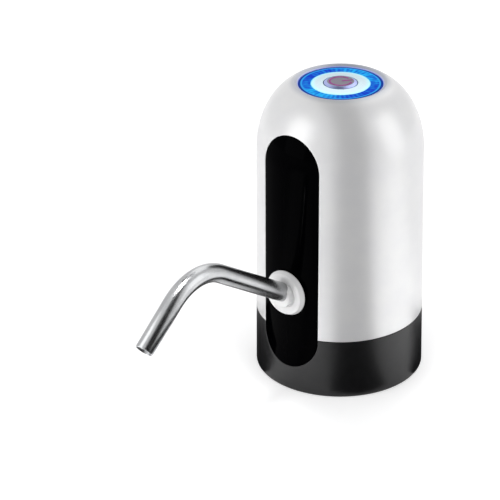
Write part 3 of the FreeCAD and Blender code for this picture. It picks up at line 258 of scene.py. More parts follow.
felt = bpy.data.materials.new("black_felt")
cloth = bare_tree(felt)
dull = add(cloth, "ShaderNodeBsdfDiffuse", {"Color": linear("#060606")})[0]
add(cloth, "ShaderNodeOutputMaterial", {"Surface": dull})

flag_points = []
for distance, rise, half in FLAG_SECTION:
    middle = bearing(FLAG_MIDDLE) * distance + UPWARDS * rise
    flag_points += [middle + bearing(FLAG_MIDDLE + 90) * side for side in (-half, half)]
flag_faces = [(k, k + 1, k + 3, k + 2) for k in range(0, len(flag_points) - 2, 2)]
studio_card("front_flag", flag_points, flag_faces, felt, hidden=True)
print("front flag at", FLAG_MIDDLE, "degrees, faces:", len(flag_faces))

# %% The two foot flags
# They lie on the board just behind the foot's outline, left and right. Only the base mirrors
# them, near its edges, because at a flat angle even black plastic mirrors a white board.
VIEW_AZIMUTH, EDGE_ANGLE, FOOT_EDGE = 38.0, 69.0, 36.8
# The corners of each flag: how far out from the foot, and how far behind its first line. The left
# one is cut back beside the panel, which would mirror it in a view from above.
FOOT_FLAGS = {
    -1: ((-3, -4), (-3, 26), (58, 32), (58, -32), (14, -26)),
    1: ((-3, -4), (-3, 26), (58, 32), (58, -22)),
}
for side, outline in FOOT_FLAGS.items():
    start = bearing(VIEW_AZIMUTH + side * EDGE_ANGLE) * FOOT_EDGE + UPWARDS * CARD_LIFT
    out = bearing(VIEW_AZIMUTH + side * 2 * EDGE_ANGLE)
    behind = bearing(VIEW_AZIMUTH + side * (2 * EDGE_ANGLE + 90))
    corners = [start + out * reach + behind * back for reach, back in outline]
    studio_card("foot_flag", corners, [range(len(corners))], felt, hidden=True)
print("foot flags:", len(FOOT_FLAGS))

# %% [markdown]
# ## Finishes
# Every finish starts from what the real surface is. Moulded plastic has an IOR near 1.5 and a
# fine grain from its mould, polished steel is a metal with almost no roughness, and rubber is
# rough and slightly dusty. Grain is written in millimetres, and is felt rather than seen.

# %% A finish with a grain, and colours that blend
finishes = {}


def drive(tree, socket, source):
    """Let a socket drive an input of the tree's surface."""
    tree.links.new(source, tree.nodes["Principled BSDF"].inputs[socket])


def noise(tree, size, detail=2.0):
    """Noise from 0 to 1 in patches of a size in mm."""
    inputs = {"Vector": object_place(tree), "Scale": 1 / (size * MM), "Detail": detail}
    return add(tree, "ShaderNodeTexNoise", inputs)[0]


def finish(slot, name, colour, grain, depth, **surface):
    """A Principled finish for a slot. Its bumps are about grain wide and depth high, in mm."""
    material = bpy.data.materials.new(name)
    material.use_nodes = True
    tree = material.node_tree
    inputs = tree.nodes["Principled BSDF"].inputs
    inputs["Base Color"].default_value = linear(colour)
    for socket, value in surface.items():
        inputs[socket.replace("_", " ")].default_value = value
    bump = add(tree, "ShaderNodeBump", {"Height": noise(tree, grain), "Distance": depth * MM})[0]
    drive(tree, "Normal", bump)
    finishes[slot] = material
    print(f"{name}: for {slot}, grain {grain} mm")
    return tree


def blend(tree, share, low, high):
    """A colour between two colours, each a hex value or a socket."""
    low, high = (linear(c) if isinstance(c, str) else c for c in (low, high))
    return add(tree, "ShaderNodeMix", {0: share, 6: low, 7: high}, data_type="RGBA")[2]


def ramp(tree, value, start, end, shape="SMOOTHSTEP"):
    """0 before the start of a value's range, 1 after its end, smooth between them."""
    ends = {"Value": value, "From Min": start, "From Max": end}
    return add(tree, "ShaderNodeMapRange", ends, interpolation_type=shape)[0]


def wander(tree, dark, light, size):
    """Let the colour wander between two shades in patches of a size in mm."""
    share = ramp(tree, noise(tree, size, 3.0), 0.35, 0.65, "LINEAR")
    shade = blend(tree, share, dark, light)
    drive(tree, "Base Color", shade)
    return shade


# %% Round finishes: angle and radius about the axis
def polar(tree):
    """The angle about the pump's axis, in radians, and the distance from it, in mm."""
    parts = add(tree, "ShaderNodeSeparateXYZ", {0: object_place(tree)})
    flat = add(tree, "ShaderNodeCombineXYZ", {"X": parts["X"], "Y": parts["Y"]})[0]
    reach = add(tree, "ShaderNodeVectorMath", {0: flat}, operation="LENGTH")["Value"]
    angle = maths(tree, "ARCTAN2", parts["Y"], parts["X"])
    return angle, maths(tree, "MULTIPLY", reach, 1 / MM)


def wave(tree, value, scale, shift=0.0):
    """A cosine of a value, from 0 to 1."""
    swing = maths(tree, "COSINE", maths(tree, "MULTIPLY_ADD", value, scale, shift))
    return maths(tree, "MULTIPLY_ADD", swing, 0.5, 0.5)


# %% [markdown]
# ## The finishes outside
# Four finishes make the casing and the collar: a pearl lacquer, a textured black, a gloss black
# and a gloss white. The crown has four more, all round, so their patterns are written in the
# angle about the pump's axis and the distance from it: streaks over the prisms, turning marks on
# the dish, a painted highlight on the button's bevel.

# %% Casing finishes
# White ABS sprayed with a mica pearl: the mica lies flat and mirrors a little of the tent, so
# the highlights are wide and silky. Towards the ring a painted shade greys the lacquer, and its
# last half millimetre carries a painted glow of the ring's light.
pearl = finish("white_shell", "pearl_lacquer_on_abs", "#e3e3e4", 0.5, 0.001,
               Roughness=0.34, IOR=1.5, Metallic=0.3, Emission_Color=linear("#5f78ff"))
clouds = wander(pearl, "#e2e2e3", "#e5e5e5", 9.0)
reach = polar(pearl)[1]
# Painted shade: the colour greys towards the ring.
drive(pearl, "Base Color", blend(pearl, ramp(pearl, reach, 22.5, 18.6), clouds, "#b0b4be"))
# Painted glow: emission lights the lip with the ring's blue.
painted_lip_glow = maths(pearl, "MULTIPLY", ramp(pearl, reach, 18.7, 18.0), 0.3)
drive(pearl, "Emission Strength", painted_lip_glow)
# Black ABS from a mould with a fine spark-eroded texture: a broad, soft sheen.
base = finish("black_base", "black_abs_spark_textured", "#0e0e10", 0.35, 0.012,
              Roughness=0.4, IOR=1.5, Specular_IOR_Level=0.46)
wander(base, "#0c0c0e", "#111113", 3.0)
# Acrylic sheet lacquered black from behind: nearly nothing but a clean, dim mirror.
finish("panel_gloss", "piano_black_acrylic", "#010102", 6.0, 0.002,
       Roughness=0.08, IOR=1.3, Specular_IOR_Level=0.015)
# Gloss ABS from a polished mould: small, clear highlights on white.
finish("collar_white", "gloss_white_abs", "#e7e7e7", 0.8, 0.002, Roughness=0.16, IOR=1.5)

# %% The ring's finish
# Clear polycarbonate over blue diodes. Its prisms break the light into streaks that run out from
# the middle, the diodes leave broad bright and deep parts, and the outer edge stays dark.
PRISMS = 48
glow = finish("ring_clear", "clear_polycarbonate", "#051c46", 0.8, 0.001, Roughness=0.12,
              IOR=1.25, Specular_IOR_Level=0.02, Emission_Strength=0.95)
angle, reach = polar(glow)
broad = wave(glow, angle, 2, -2 * math.radians(270))
level = maths(glow, "MULTIPLY_ADD", broad, 0.5, -0.08)
level = maths(glow, "MULTIPLY_ADD", ramp(glow, noise(glow, 3.2), 0.36, 0.64), 0.34, level)
level = maths(glow, "MULTIPLY_ADD", wave(glow, angle, PRISMS), 0.28, level)
light = blend(glow, ramp(glow, level, 0.1, 0.6), "#0032c6", "#0672d8")
light = blend(glow, ramp(glow, level, 0.45, 0.95), light, "#1cb6f6")
# Then a bright line inside, a thin one outside, and the dark edge.
light = blend(glow, ramp(glow, reach, 12.5, 12.8), "#7adcfb", light)
light = blend(glow, ramp(glow, reach, 16.0, 16.4), light, "#2ba4ee")
light = blend(glow, ramp(glow, reach, 16.7, 17.1), light, "#08348e")
drive(glow, "Emission Color", light)

# %% Other crown finishes
# Silver pearl lacquer on a spun dish: fine circles, drawn coarser than they are, and the ring's
# light along its outer edge.
dish = finish("dish_pearl", "silver_pearl_lacquer_spun", "#b4cfdb", 0.3, 0.002,
              Roughness=0.3, Metallic=0.5)
reach = polar(dish)[1]
silver = blend(dish, wave(dish, reach, FULL_TURN / 0.55), "#b9d3de", "#cfe3ea")
drive(dish, "Base Color", blend(dish, ramp(dish, reach, 10.2, 12.3), silver, "#b6f0f8"))
# Satin chrome on ABS: a greyed mauve mirror, with a painted lavender highlight on the bevel
# round it and a painted steel-blue reflection along its edge.
cap = finish("button_metal", "satin_chrome_on_abs", "#6b6673", 0.25, 0.002,
             Roughness=0.34, Metallic=0.9)
reach = polar(cap)[1]
# Painted highlight: a lavender band on the bevel.
bevel = blend(cap, ramp(cap, reach, 5.6, 5.9), "#67626f", "#a9b2e4")
# Painted reflection: a steel-blue line at the cap's edge.
drive(cap, "Base Color", blend(cap, ramp(cap, reach, 6.9, 7.15), bevel, "#5f7fae"))
# Translucent acrylic let into the cap: its violet is deeper where the inlay is thick, and a
# faint emission paints a glow into it.
icon = finish("icon_violet", "violet_acrylic_inlay", "#841d78", 0.3, 0.001, Roughness=0.25,
              IOR=1.49, Specular_IOR_Level=0.15, Emission_Color=linear("#a0148c"),
              Emission_Strength=0.12)
wander(icon, "#7d1270", "#9c1c8a", 1.6)

# %% [markdown]
# ## The finishes inside
# Nothing inside was made to be looked at, and it shows: metals are stamped, plated or ground,
# plastics keep the cloudy colour of their granulate, and rubber is dusty. One helper lets a
# colour drift between two shades, the other draws a line for each layer of a stack or winding.
# Each call gives slot, name, two shades, patch or pitch, grain, its depth and the roughness.

# %% Patches and layers
METAL = {"Metallic": 1.0}


def mottled(slot, name, dark, light, patch, grain, depth, rough, **surface):
    """A finish whose colour wanders from dark to light in patches of a size in mm."""
    tree = finish(slot, name, dark, grain, depth, Roughness=rough, **surface)
    wander(tree, dark, light, patch)


def layered(slot, name, line, layer, pitch, grain, depth, rough, **surface):
    """A finish with a darker line for each layer along the pump's axis, a pitch in mm apart."""
    tree = finish(slot, name, layer, grain, depth, Roughness=rough, **surface)
    height = add(tree, "ShaderNodeSeparateXYZ", {0: object_place(tree)})["Z"]
    stripes = wave(tree, height, FULL_TURN / (pitch * MM))
    drive(tree, "Base Color", blend(tree, stripes, line, layer))


# %% Metal finishes
# Polished tube: nearly a clean mirror, a little cloudy where the buffing wheel passed.
mottled("spout_steel", "stainless_tube_polished", "#a9aaac", "#b1b2b3", 5.0, 0.3, 0.0002, 0.25,
        **METAL)
# Zinc plate with a clear passivation: grey with a faint yellow and violet bloom.
mottled("zinc_screw", "zinc_plated_steel", "#a6a79c", "#aeaeb6", 1.2, 0.15, 0.004, 0.32, **METAL)
# Centreless-ground shaft: bright, with fine marks round it.
layered("bright_steel", "ground_steel", "#a4a5a8", "#bcbdbf", 0.3, 0.1, 0.003, 0.25, **METAL)
# Nickel over a drawn can: warmer than steel, with long soft drawing marks.
mottled("nickel_can", "nickel_plated_steel", "#aaa89e", "#bbb9b1", 4.0, 0.4, 0.003, 0.28, **METAL)
# Enamelled wire, turn beside turn, drawn coarser than its real 0.15 mm: a ribbed copper gleam.
layered("copper", "enamelled_copper_wire", "#7a3c1c", "#b5622f", 0.45, 0.2, 0.03, 0.3, **METAL)
# Sintered bearing soaked with oil: dull, porous and spotted.
mottled("bronze", "sintered_bronze", "#7b5c34", "#97743f", 0.5, 0.12, 0.02, 0.5, **METAL)
# Punched sheets in a stack: the cut edges catch the light, the seams between them don't.
layered("laminated_steel", "stamped_electrical_steel", "#47484a", "#77787a", 0.5, 0.35, 0.02,
        0.45, **METAL)

# %% Inner plastics, rubbers and electronics
# Uncoloured ABS and acetal: cloudy off-white, one dull, the other waxy.
mottled("white_abs", "natural_abs_moulded", "#cdcbc1", "#d7d5cd", 6.0, 0.6, 0.01, 0.5, IOR=1.5)
mottled("grey_acetal", "acetal_moulded", "#c3c4bf", "#cfd0cc", 3.0, 0.25, 0.006, 0.38, IOR=1.48)
# Rubbers hold dust: lighter blooms on a dull skin.
mottled("silicone", "silicone_moulded", "#d3d2cb", "#dedcd7", 2.0, 1.2, 0.01, 0.45, IOR=1.41)
mottled("black_rubber", "nitrile_rubber_moulded", "#111111", "#1b1b1a", 1.5, 0.4, 0.02, 0.7,
        IOR=1.52)
# Ferrite is a dark stone: coarse grain, no shine.
mottled("ferrite", "sintered_ferrite", "#262628", "#303033", 0.6, 0.3, 0.02, 0.6)
# Solder mask lies like a lacquer over copper tracks, which tint it lighter here and there.
mottled("circuit_green", "solder_mask_on_laminate", "#0c4426", "#14572f", 2.0, 0.3, 0.004, 0.3)
# Ceramic under a clear lens is creamy and glossy, a chip's epoxy is black and stony.
mottled("led_white", "ceramic_under_clear_lens", "#e2dcb4", "#efeeda", 0.8, 0.3, 0.002, 0.2)
mottled("chip_black", "moulded_epoxy", "#131314", "#1b1b1c", 0.7, 0.15, 0.008, 0.6)
# A shrunk sleeve is drawn tight and shiny, with paler bands where it stretched.
layered("cell_wrap", "shrink_sleeve", "#18578a", "#1d6296", 9.0, 4.0, 0.02, 0.25)
# A lead's PVC has a soft gloss and an uneven red.
mottled("wire_red", "pvc_insulation", "#9a1d19", "#aa2420", 2.5, 0.5, 0.004, 0.4)

for part in frame["record"]["subparts"]:
    mesh = frame["nodes"][part["node"]].data
    mesh.materials.clear()
    mesh.materials.append(finishes[part["material_slot"]])
print("finishes:", len(finishes))

# %% [markdown]
# ## From an outline to a piece
# Most of this pump was drawn as outlines: a lathe profile for what is round, and a rounded
# rectangle for the window and the charge pocket. The helpers here turn an outline about the
# axis, round its corners the way a mould does, and weld the result into one closed mesh.

# %% Finish a piece
WELD = 0.0005
SOFT_EDGE = math.radians(35)


def crisp(mesh):
    """Shade a mesh smooth, but keep its edges sharper than a soft edge."""
    mesh.polygons.foreach_set("use_smooth", [True] * len(mesh.polygons))
    mesh.set_sharp_from_angle(angle=SOFT_EDGE)


def dress(piece, slot, body, replaced=()):
    """Give a finished piece its finish, the body it rides on and the nodes it stands for."""
    piece.data.materials.clear()
    piece.data.materials.append(finishes[slot])
    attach(piece, body)
    if replaced:
        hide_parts(*replaced)
    print(f"{piece.name}: {len(piece.data.polygons)} faces, {slot}, on {body}")


def welded(faces):
    """Points at one place become one. Faces without area go, and so do pairs back to back."""
    places, kept = {}, {}
    for face in faces:
        spots = [tuple(round(c / WELD) for c in point) for point in face]
        loop = [places.setdefault(spot, len(places)) for spot in spots]
        loop = [n for k, n in enumerate(loop) if n != loop[k - 1]]
        if len(loop) > 2:
            kept.setdefault(frozenset(loop), []).append(loop)
    single = [loops[0] for loops in kept.values()
              if len(loops) == 1 and len(set(loops[0])) == len(loops[0])]
    return [Vector(place) * WELD * MM for place in places], single


def closed_mesh(name, faces):
    """An object of faces, each a list of points in mm. It is welded and faces outwards."""
    mesh = bpy.data.meshes.new(name)
    points, faces = welded(faces)
    mesh.from_pydata(points, [], faces)
    shape = bmesh.new()
    shape.from_mesh(mesh)
    loose = [vert for vert in shape.verts if not vert.link_faces]
    bmesh.ops.delete(shape, geom=loose, context="VERTS")
    bmesh.ops.recalc_face_normals(shape, faces=shape.faces)
    open_edges = sum(len(edge.link_faces) != 2 for edge in shape.edges)
    shape.to_mesh(mesh)
    shape.free()
    if open_edges:
        print(name, "has", open_edges, "open edges")
    crisp(mesh)
    return in_scene(name, mesh)


# %% Outlines with rounded corners, and the lathe
LONG_SIDE, HOLD = 1.0, 0.12
# Steps round the axis: coarser for small parts and finer for large ones.
COARSE, MEDIUM, SMOOTH, FINE = 48, 96, 128, 160


def rounded(corners, steps=6):
    """A closed outline from corners (across, up, radius): each corner becomes an arc."""
    outline = []
    for before, corner, after in zip(corners[-1:] + corners, corners, corners[1:] + corners[:1]):
        here = Vector(corner[:2])
        back = (Vector(before[:2]) - here).normalized()
        on = (Vector(after[:2]) - here).normalized()
        half = back.angle(on) / 2
        if corner[2] == 0 or half > math.pi / 2 - 0.01:
            outline.append(here)
            continue
        centre = here + (back + on).normalized() * (corner[2] / math.sin(half))
        start = here + back * (corner[2] / math.tan(half)) - centre
        swing = math.pi - 2 * half
        if back.x * on.y - back.y * on.x > 0:
            swing = -swing
        outline += [centre + Matrix.Rotation(swing * step / steps, 2) @ start
                    for step in range(steps + 1)]
    return outline


def braced(outline):
    """The outline with two more points near the ends of each long side, to shade flat."""
    held = []
    for here, on in zip(outline, outline[1:] + outline[:1]):
        here, on = Vector(here), Vector(on)
        held.append(here)
        if (on - here).length > LONG_SIDE:
            step = (on - here).normalized() * HOLD
            held += [here + step, on - step]
    return held


def skin_faces(rings):
    """Faces between neighbouring closed rings of points."""
    faces = []
    for low, high in zip(rings, rings[1:]):
        for k in range(len(low)):
            on = (k + 1) % len(low)
            faces.append((low[k], low[on], high[on], high[k]))
    return faces


def moved(faces, rule):
    """Faces whose points are moved by a rule."""
    return [[rule(*point) for point in face] for face in faces]


def lathe(corners, steps=FINE, arc_steps=6):
    """Faces of a closed outline (radius, height, corner radius) turned about the axis."""
    outline = braced(rounded(corners, arc_steps))
    rings = []
    for step in range(steps):
        angle = FULL_TURN * step / steps
        rings.append([(reach * math.cos(angle), reach * math.sin(angle), height)
                      for reach, height in outline])
    return skin_faces(rings + rings[:1])


# %% [markdown]
# ## The casing's form
# The casing is one idea: a side that tapers by one millimetre over its height and a crown that is
# a quarter ellipse. Every outer surface here, white, black or glossy, lies on it, so one function
# gives its radius at any height and any depth below the skin.

# %% The casing's form
WALL = 2.6
FOOT_RADIUS = 36.6
SHOULDER_RADIUS = FOOT_RADIUS - 1.0
PARTING, TOTAL_HEIGHT = measure("upper_shell")
SHOULDER_HEIGHT = TOTAL_HEIGHT - 29.8
CROWN_RISE = 31.2
LIP_RADIUS = 18.0
LIP_WIDTH = 1.85
crown_share = math.sqrt(1 - ((TOTAL_HEIGHT - SHOULDER_HEIGHT) / CROWN_RISE) ** 2)
CROWN_CENTRE = (LIP_RADIUS + LIP_WIDTH - SHOULDER_RADIUS * crown_share) / (1 - crown_share)
print("height", round(TOTAL_HEIGHT, 2), "parting", round(PARTING, 2))


def skin(height, depth=0.0):
    """Radius of the casing's form at a height, some depth below its skin."""
    if height <= SHOULDER_HEIGHT:
        taper = (SHOULDER_RADIUS - FOOT_RADIUS) * height / SHOULDER_HEIGHT
        return FOOT_RADIUS + taper - depth
    share = min(1.0, (height - SHOULDER_HEIGHT) / (CROWN_RISE - depth))
    return CROWN_CENTRE + (SHOULDER_RADIUS - CROWN_CENTRE - depth) * math.sqrt(1 - share * share)


def crown_heights(low, high, depth, count):
    """Heights from low to high, spaced evenly along the ellipse."""
    rise = CROWN_RISE - depth
    start = math.asin(max(0.0, (low - SHOULDER_HEIGHT) / rise))
    end = math.asin(min(1.0, (high - SHOULDER_HEIGHT) / rise))
    return [SHOULDER_HEIGHT + rise * math.sin(start + (end - start) * k / count)
            for k in range(count + 1)]


# %% [markdown]
# ## Rings of points with a window in them
# A tall rounded recess runs down the front of both casing halves, and the glossy panel lies in
# it, flush. The casing is drawn as a stack of closed rings with equally many points. Where the
# recess cuts a ring, the ring turns in over a softly rounded edge, crosses the recess floor and
# comes back out. All rings then join into one closed skin, and the edge stays a clean line.

# %% The window
panel_foot, panel_top = measure("front_panel")
PANEL_HALF = 14.3
WINDOW_GAP = 0.1
WINDOW_HALF = PANEL_HALF + WINDOW_GAP
WINDOW_LOW, WINDOW_HIGH = panel_foot + PANEL_HALF, panel_top - PANEL_HALF
WINDOW_DEPTH = 1.3
EDGE_ROUND = 0.35
EDGE_STEPS = 4
COLUMNS = 192
FLOOR_COLUMNS = 24
FLOOR_START = COLUMNS + 1 + EDGE_STEPS
MIDDLE = COLUMNS // 2
FRONT, BACK = -1, 1


def quarter(steps):
    """Sine and cosine at even steps of a quarter turn."""
    bends = [math.pi / 2 * step / steps for step in range(steps + 1)]
    return [(math.sin(bend), math.cos(bend)) for bend in bends]


def circle(angles, radius, height):
    """Points on a level circle, at angles from the front."""
    return [(radius * math.sin(a), -radius * math.cos(a), height) for a in angles]


def window_edge(spot, grow):
    """(half width, height) on the window's edge, at ("side", height) or ("cap", angle)."""
    kind, value = spot
    half = WINDOW_HALF + grow
    if kind == "side":
        return half, value
    centre = WINDOW_HIGH if value >= 0 else WINDOW_LOW
    return max(0.0, half * math.cos(value)), centre + half * math.sin(value)


def cap_spots(steps):
    """Spots up the window's round foot, and spots up its round head."""
    angles = [math.pi / 2 * k / steps for k in range(steps + 1)]
    return [("cap", -angle) for angle in angles[:0:-1]], [("cap", angle) for angle in angles]


def wall_point(across, height, depth=0.0, side=FRONT, plane=None):
    """A point of the front or the back, some depth below the skin or on a flat plane."""
    return across, side * (plane or math.sqrt(skin(height, depth) ** 2 - across ** 2)), height


print("window from", round(WINDOW_LOW - WINDOW_HALF, 2), "to", round(WINDOW_HIGH + WINDOW_HALF, 2))

# %% Casing rings
def window_ring(spot, least=0.0):
    """A closed ring through the window recess. Nothing of it is nearer to the skin than least."""
    turn_in = [(*window_edge(spot, EDGE_ROUND * (1 - s)), max(least, EDGE_ROUND * (1 - c)))
               for s, c in quarter(EDGE_STEPS)]
    half, start, _ = turn_in.pop(0)
    radius = skin(start, least)
    edge = math.asin(min(1.0, half / radius))
    angles = [edge + (FULL_TURN - 2 * edge) * k / COLUMNS for k in range(COLUMNS + 1)]
    half, height, _ = turn_in[-1]
    turn_in.append((half, height, WINDOW_DEPTH))
    floor = [wall_point(half * (2 * k / FLOOR_COLUMNS - 1), height, WINDOW_DEPTH)
             for k in range(1, FLOOR_COLUMNS)]
    return (circle(angles, radius, start)
            + [wall_point(-across, level, depth) for across, level, depth in turn_in]
            + floor + [wall_point(*point) for point in reversed(turn_in)])


RING_SIZE = len(window_ring(("side", PARTING)))


def full_ring(radius, height):
    """A whole circle with as many points as a window ring; the extra ones fall on its start."""
    ring = circle([FULL_TURN * k / COLUMNS for k in range(COLUMNS + 1)], radius, height)
    return ring + ring[:1] * (RING_SIZE - len(ring))


def circle_behind(ring, radius, height):
    """A circle whose points lie at the same angles as a ring's."""
    return circle([math.atan2(x, -y) for x, y, _ in ring], radius, height)


print("points in a ring:", RING_SIZE)

# %% [markdown]
# ## Setting a hole into a skin
# The charge pocket, the spout's hole in the panel and the one behind it are holes in a curved
# wall. The grid's cells around each one are left out, on both sides of the wall. The gap is then
# filled by loops: each loop holds the points where rays from the hole's centre meet one outline,
# so all loops match one to one.

# %% Loops round a hole
def ray_reach(angle, half, corner):
    """How far a ray from the middle of a rounded rectangle goes before it meets its edge."""
    c, s = abs(math.cos(angle)), abs(math.sin(angle))
    inner = half - Vector((corner, corner))
    flat = min(half.x / c if c > 1e-9 else 1e9, half.y / s if s > 1e-9 else 1e9)
    if flat * c <= inner.x or flat * s <= inner.y:
        return flat
    along = inner.x * c + inner.y * s
    return along + math.sqrt(max(0.0, along * along - inner.length_squared + corner * corner))


def hole_loop(angles, side, centre, half, corner, **where):
    """A loop round a hole, where rays from its centre meet its outline."""
    rays = [(angle, ray_reach(angle, half, corner)) for angle in angles]
    return [wall_point(reach * math.cos(angle), centre + reach * math.sin(angle), side=side,
                       **where) for angle, reach in rays]


def patch_border(grid, rows, columns):
    """The points round a rectangle of the grid, given as (first, last) rows and columns."""
    (bottom, top), (left, last) = rows, columns
    return ([grid[bottom][k] for k in range(left, last)]
            + [grid[k][last] for k in range(bottom, top)]
            + [grid[top][k] for k in range(last, left, -1)]
            + [grid[k][left] for k in range(top, bottom, -1)])


# %% Setting a hole
def rows_round(levels, centre, reach):
    """First and last row that clear a hole by its reach."""
    first = max(k for k, level in enumerate(levels) if level < centre - reach)
    return first, min(k for k, level in enumerate(levels) if level > centre + reach)


def set_hole(faces, near, far, rows, columns, side, centre, outlines, near_depth=0.0):
    """Replace a patch of a wall's near and far grid by loops that follow the outlines."""
    for grid in (near, far):
        patch = grid[rows[0]:rows[1] + 1]
        inside = {point for ring in patch for point in ring[columns[0]:columns[1] + 1]}
        faces = [face for face in faces if not inside.issuperset(face)]
    border = patch_border(near, rows, columns)
    angles = [math.atan2(height - centre, across) for across, _, height in border]
    loops = [hole_loop(angles, side, centre, **outline) for outline in outlines]
    eased = []
    for share in (0.25, 0.5, 0.75):
        spots = [[point[axis] * (1 - share) + goal[axis] * share for axis in (0, 2)]
                 for point, goal in zip(border, loops[0])]
        eased.append([wall_point(*spot, near_depth, side) for spot in spots])
    return faces + skin_faces([border] + eased + loops + [patch_border(far, rows, columns)])


# %% [markdown]
# ## The upper shell
# The white half is injection-moulded in one shot: a thin, even wall, a lip that rounds over into
# the seat of the light ring, a hole behind the panel for the spout's barrel, and a pocket for the
# charging plug with a soft mouth. It is drawn as one closed skin, up the outside, over the lip,
# down the seat and back down the inside.

# %% The rings of the upper shell
SIDE_ROWS = 38
CAP_STEPS = 28
CROWN_ROWS, UNDER_CROWN_ROWS = 24, 10
PARTING_EDGE = 0.35
first_row = PARTING + PARTING_EDGE
side_heights = [first_row + (WINDOW_HIGH - first_row) * k / SIDE_ROWS
                for k in range(SIDE_ROWS + 1)]
foot_spots, head_spots = cap_spots(CAP_STEPS)
spots = [("side", height) for height in side_heights[:-1]] + head_spots

SEAT_FLOOR, RING_TOP = measure("light_ring")
SHELF_FLOOR = SEAT_FLOOR - 1.3
SHELF_RADIUS = LIP_RADIUS - 1.9
SEAT_OUTSIDE = LIP_RADIUS + WALL / 2
window_top = WINDOW_HIGH + WINDOW_HALF
lip_start = TOTAL_HEIGHT - 0.25
crown_rows = crown_heights(window_top + EDGE_ROUND, lip_start, 0.0, CROWN_ROWS)[1:]
under_crown = crown_heights(window_top, SHELF_FLOOR + 1.5, WALL, UNDER_CROWN_ROWS)
over_lip = [(skin(h), h) for h in crown_rows]
over_lip += rounded([
    (skin(lip_start), lip_start, 0), (LIP_RADIUS + LIP_WIDTH - 0.1, TOTAL_HEIGHT, 0.4),
    (LIP_RADIUS, TOTAL_HEIGHT - 0.8, 0.25), (LIP_RADIUS, SEAT_FLOOR, 0),
    (SHELF_RADIUS, SEAT_FLOOR, 0.2), (SHELF_RADIUS, SHELF_FLOOR, 0.2),
    (SEAT_OUTSIDE, SHELF_FLOOR, 0),
])[1:]
over_lip += [(skin(h, WALL), h) for h in under_crown[:0:-1]]

outside = [window_ring(spot) for spot in spots]
crown = [full_ring(radius, height) for radius, height in over_lip]
inside = []
for spot, ring in zip(spots, outside):
    height = window_edge(spot, 0.0)[1]
    inside.append(circle_behind(ring, skin(height, WALL), height))
edge = window_ring(("side", PARTING), least=PARTING_EDGE)
inner_edge = circle_behind(edge, skin(PARTING, WALL), PARTING)
faces = skin_faces([inner_edge, edge] + outside + crown + inside[::-1] + [inner_edge])
print("rings outside, over the lip and inside:", len(outside), len(crown), len(inside))

# %% The pocket for the charging plug, behind
POCKET_CENTRE = sum(measure("usb_socket")) / 2
POCKET_HALF = Vector((7.0, 4.5))
POCKET_DEPTH = 3.0
POCKET_FLOOR = skin(POCKET_CENTRE) - POCKET_DEPTH
POCKET_WALL = 1.6
MOUTH_ROUND, FLOOR_ROUND = 0.5, 0.3
BACK_PLATE = POCKET_FLOOR - POCKET_WALL
SLOT_HALF, SLOT_CORNER = Vector((3.9, 1.6)), 1.2
# The patch of the wall's grid that makes room for it: its reach in mm and its columns.
POCKET_REACH, POCKET_COLUMNS = 8.0, 12


def widened(half, grow):
    """The same rounded rectangle, grown on all sides."""
    return half + Vector((grow, grow))


def stadium(half, **where):
    """An outline whose short sides are half circles."""
    return {"half": half, "corner": half.y, **where}


plug_slot = {"half": SLOT_HALF, "corner": SLOT_CORNER}
block_half = widened(POCKET_HALF, POCKET_WALL)
outlines = [stadium(widened(POCKET_HALF, MOUTH_ROUND * (1 - s)), depth=MOUTH_ROUND * (1 - c))
            for s, c in quarter(EDGE_STEPS)]
outlines += [
    stadium(POCKET_HALF, plane=POCKET_FLOOR + FLOOR_ROUND),
    stadium(widened(POCKET_HALF, -FLOOR_ROUND), plane=POCKET_FLOOR),
    {**plug_slot, "plane": POCKET_FLOOR}, {**plug_slot, "plane": BACK_PLATE},
    stadium(block_half, plane=BACK_PLATE), stadium(block_half, depth=WALL),
]
faces = set_hole(faces, outside, inside,
                 rows_round(side_heights, POCKET_CENTRE, POCKET_REACH),
                 (MIDDLE - POCKET_COLUMNS, MIDDLE + POCKET_COLUMNS), BACK, POCKET_CENTRE, outlines)
print("pocket centre", round(POCKET_CENTRE, 2), "floor", round(POCKET_FLOOR, 2))

# %% The hole for the outlet, behind the panel
SPOUT_HEIGHT = sum(measure("outlet_collar")) / 2
OUTLET_HOLE = 8.76
OUTLET_REACH, OUTLET_MARGIN = 9.6, 3


def floor_grid(rings):
    """The columns of the rings that cross the window's floor."""
    return [ring[FLOOR_START:FLOOR_START + FLOOR_COLUMNS + 1] for ring in rings]


def round_hole(radius, **where):
    """The outline of a round hole."""
    return stadium(Vector((radius, radius)), **where)


faces = set_hole(faces, floor_grid(outside), floor_grid(inside),
                 rows_round(side_heights, SPOUT_HEIGHT, OUTLET_REACH),
                 (OUTLET_MARGIN, FLOOR_COLUMNS - OUTLET_MARGIN), FRONT, SPOUT_HEIGHT,
                 [round_hole(OUTLET_HOLE, depth=depth) for depth in (WINDOW_DEPTH, WALL)],
                 WINDOW_DEPTH)
dress(closed_mesh("upper_shell_skin", faces), "white_shell", "housing", ["upper_shell"])

# %% The pad round the outlet hole, inside
PAD_RADIUS, PAD_DEPTH = 13.0, 6.2
PAD_FACE = skin(SPOUT_HEIGHT) - PAD_DEPTH
in_the_wall = skin(SPOUT_HEIGHT) - (WINDOW_DEPTH + WALL) / 2
pad = lathe([
    (OUTLET_HOLE, PAD_FACE, 0.2), (PAD_RADIUS, PAD_FACE, 0.3), (PAD_RADIUS, in_the_wall, 0),
    (OUTLET_HOLE, in_the_wall, 0),
], MEDIUM)


def into_the_wall(x, up, out):
    """Point the pad forwards and end it inside the curved wall."""
    return x, -min(out, math.sqrt(in_the_wall ** 2 - x ** 2)), SPOUT_HEIGHT + up


dress(closed_mesh("outlet_pad", moved(pad, into_the_wall)), "white_shell", "housing")

# %% [markdown]
# ## The base
# The black half is a cup upside down: a skirt that carries the window's lower end, a deep round
# socket that the pump stands by, and a ceiling over both with a hole for the intake. Its rings go
# up the skirt, over the tongue that centres the white half, and down through the socket.

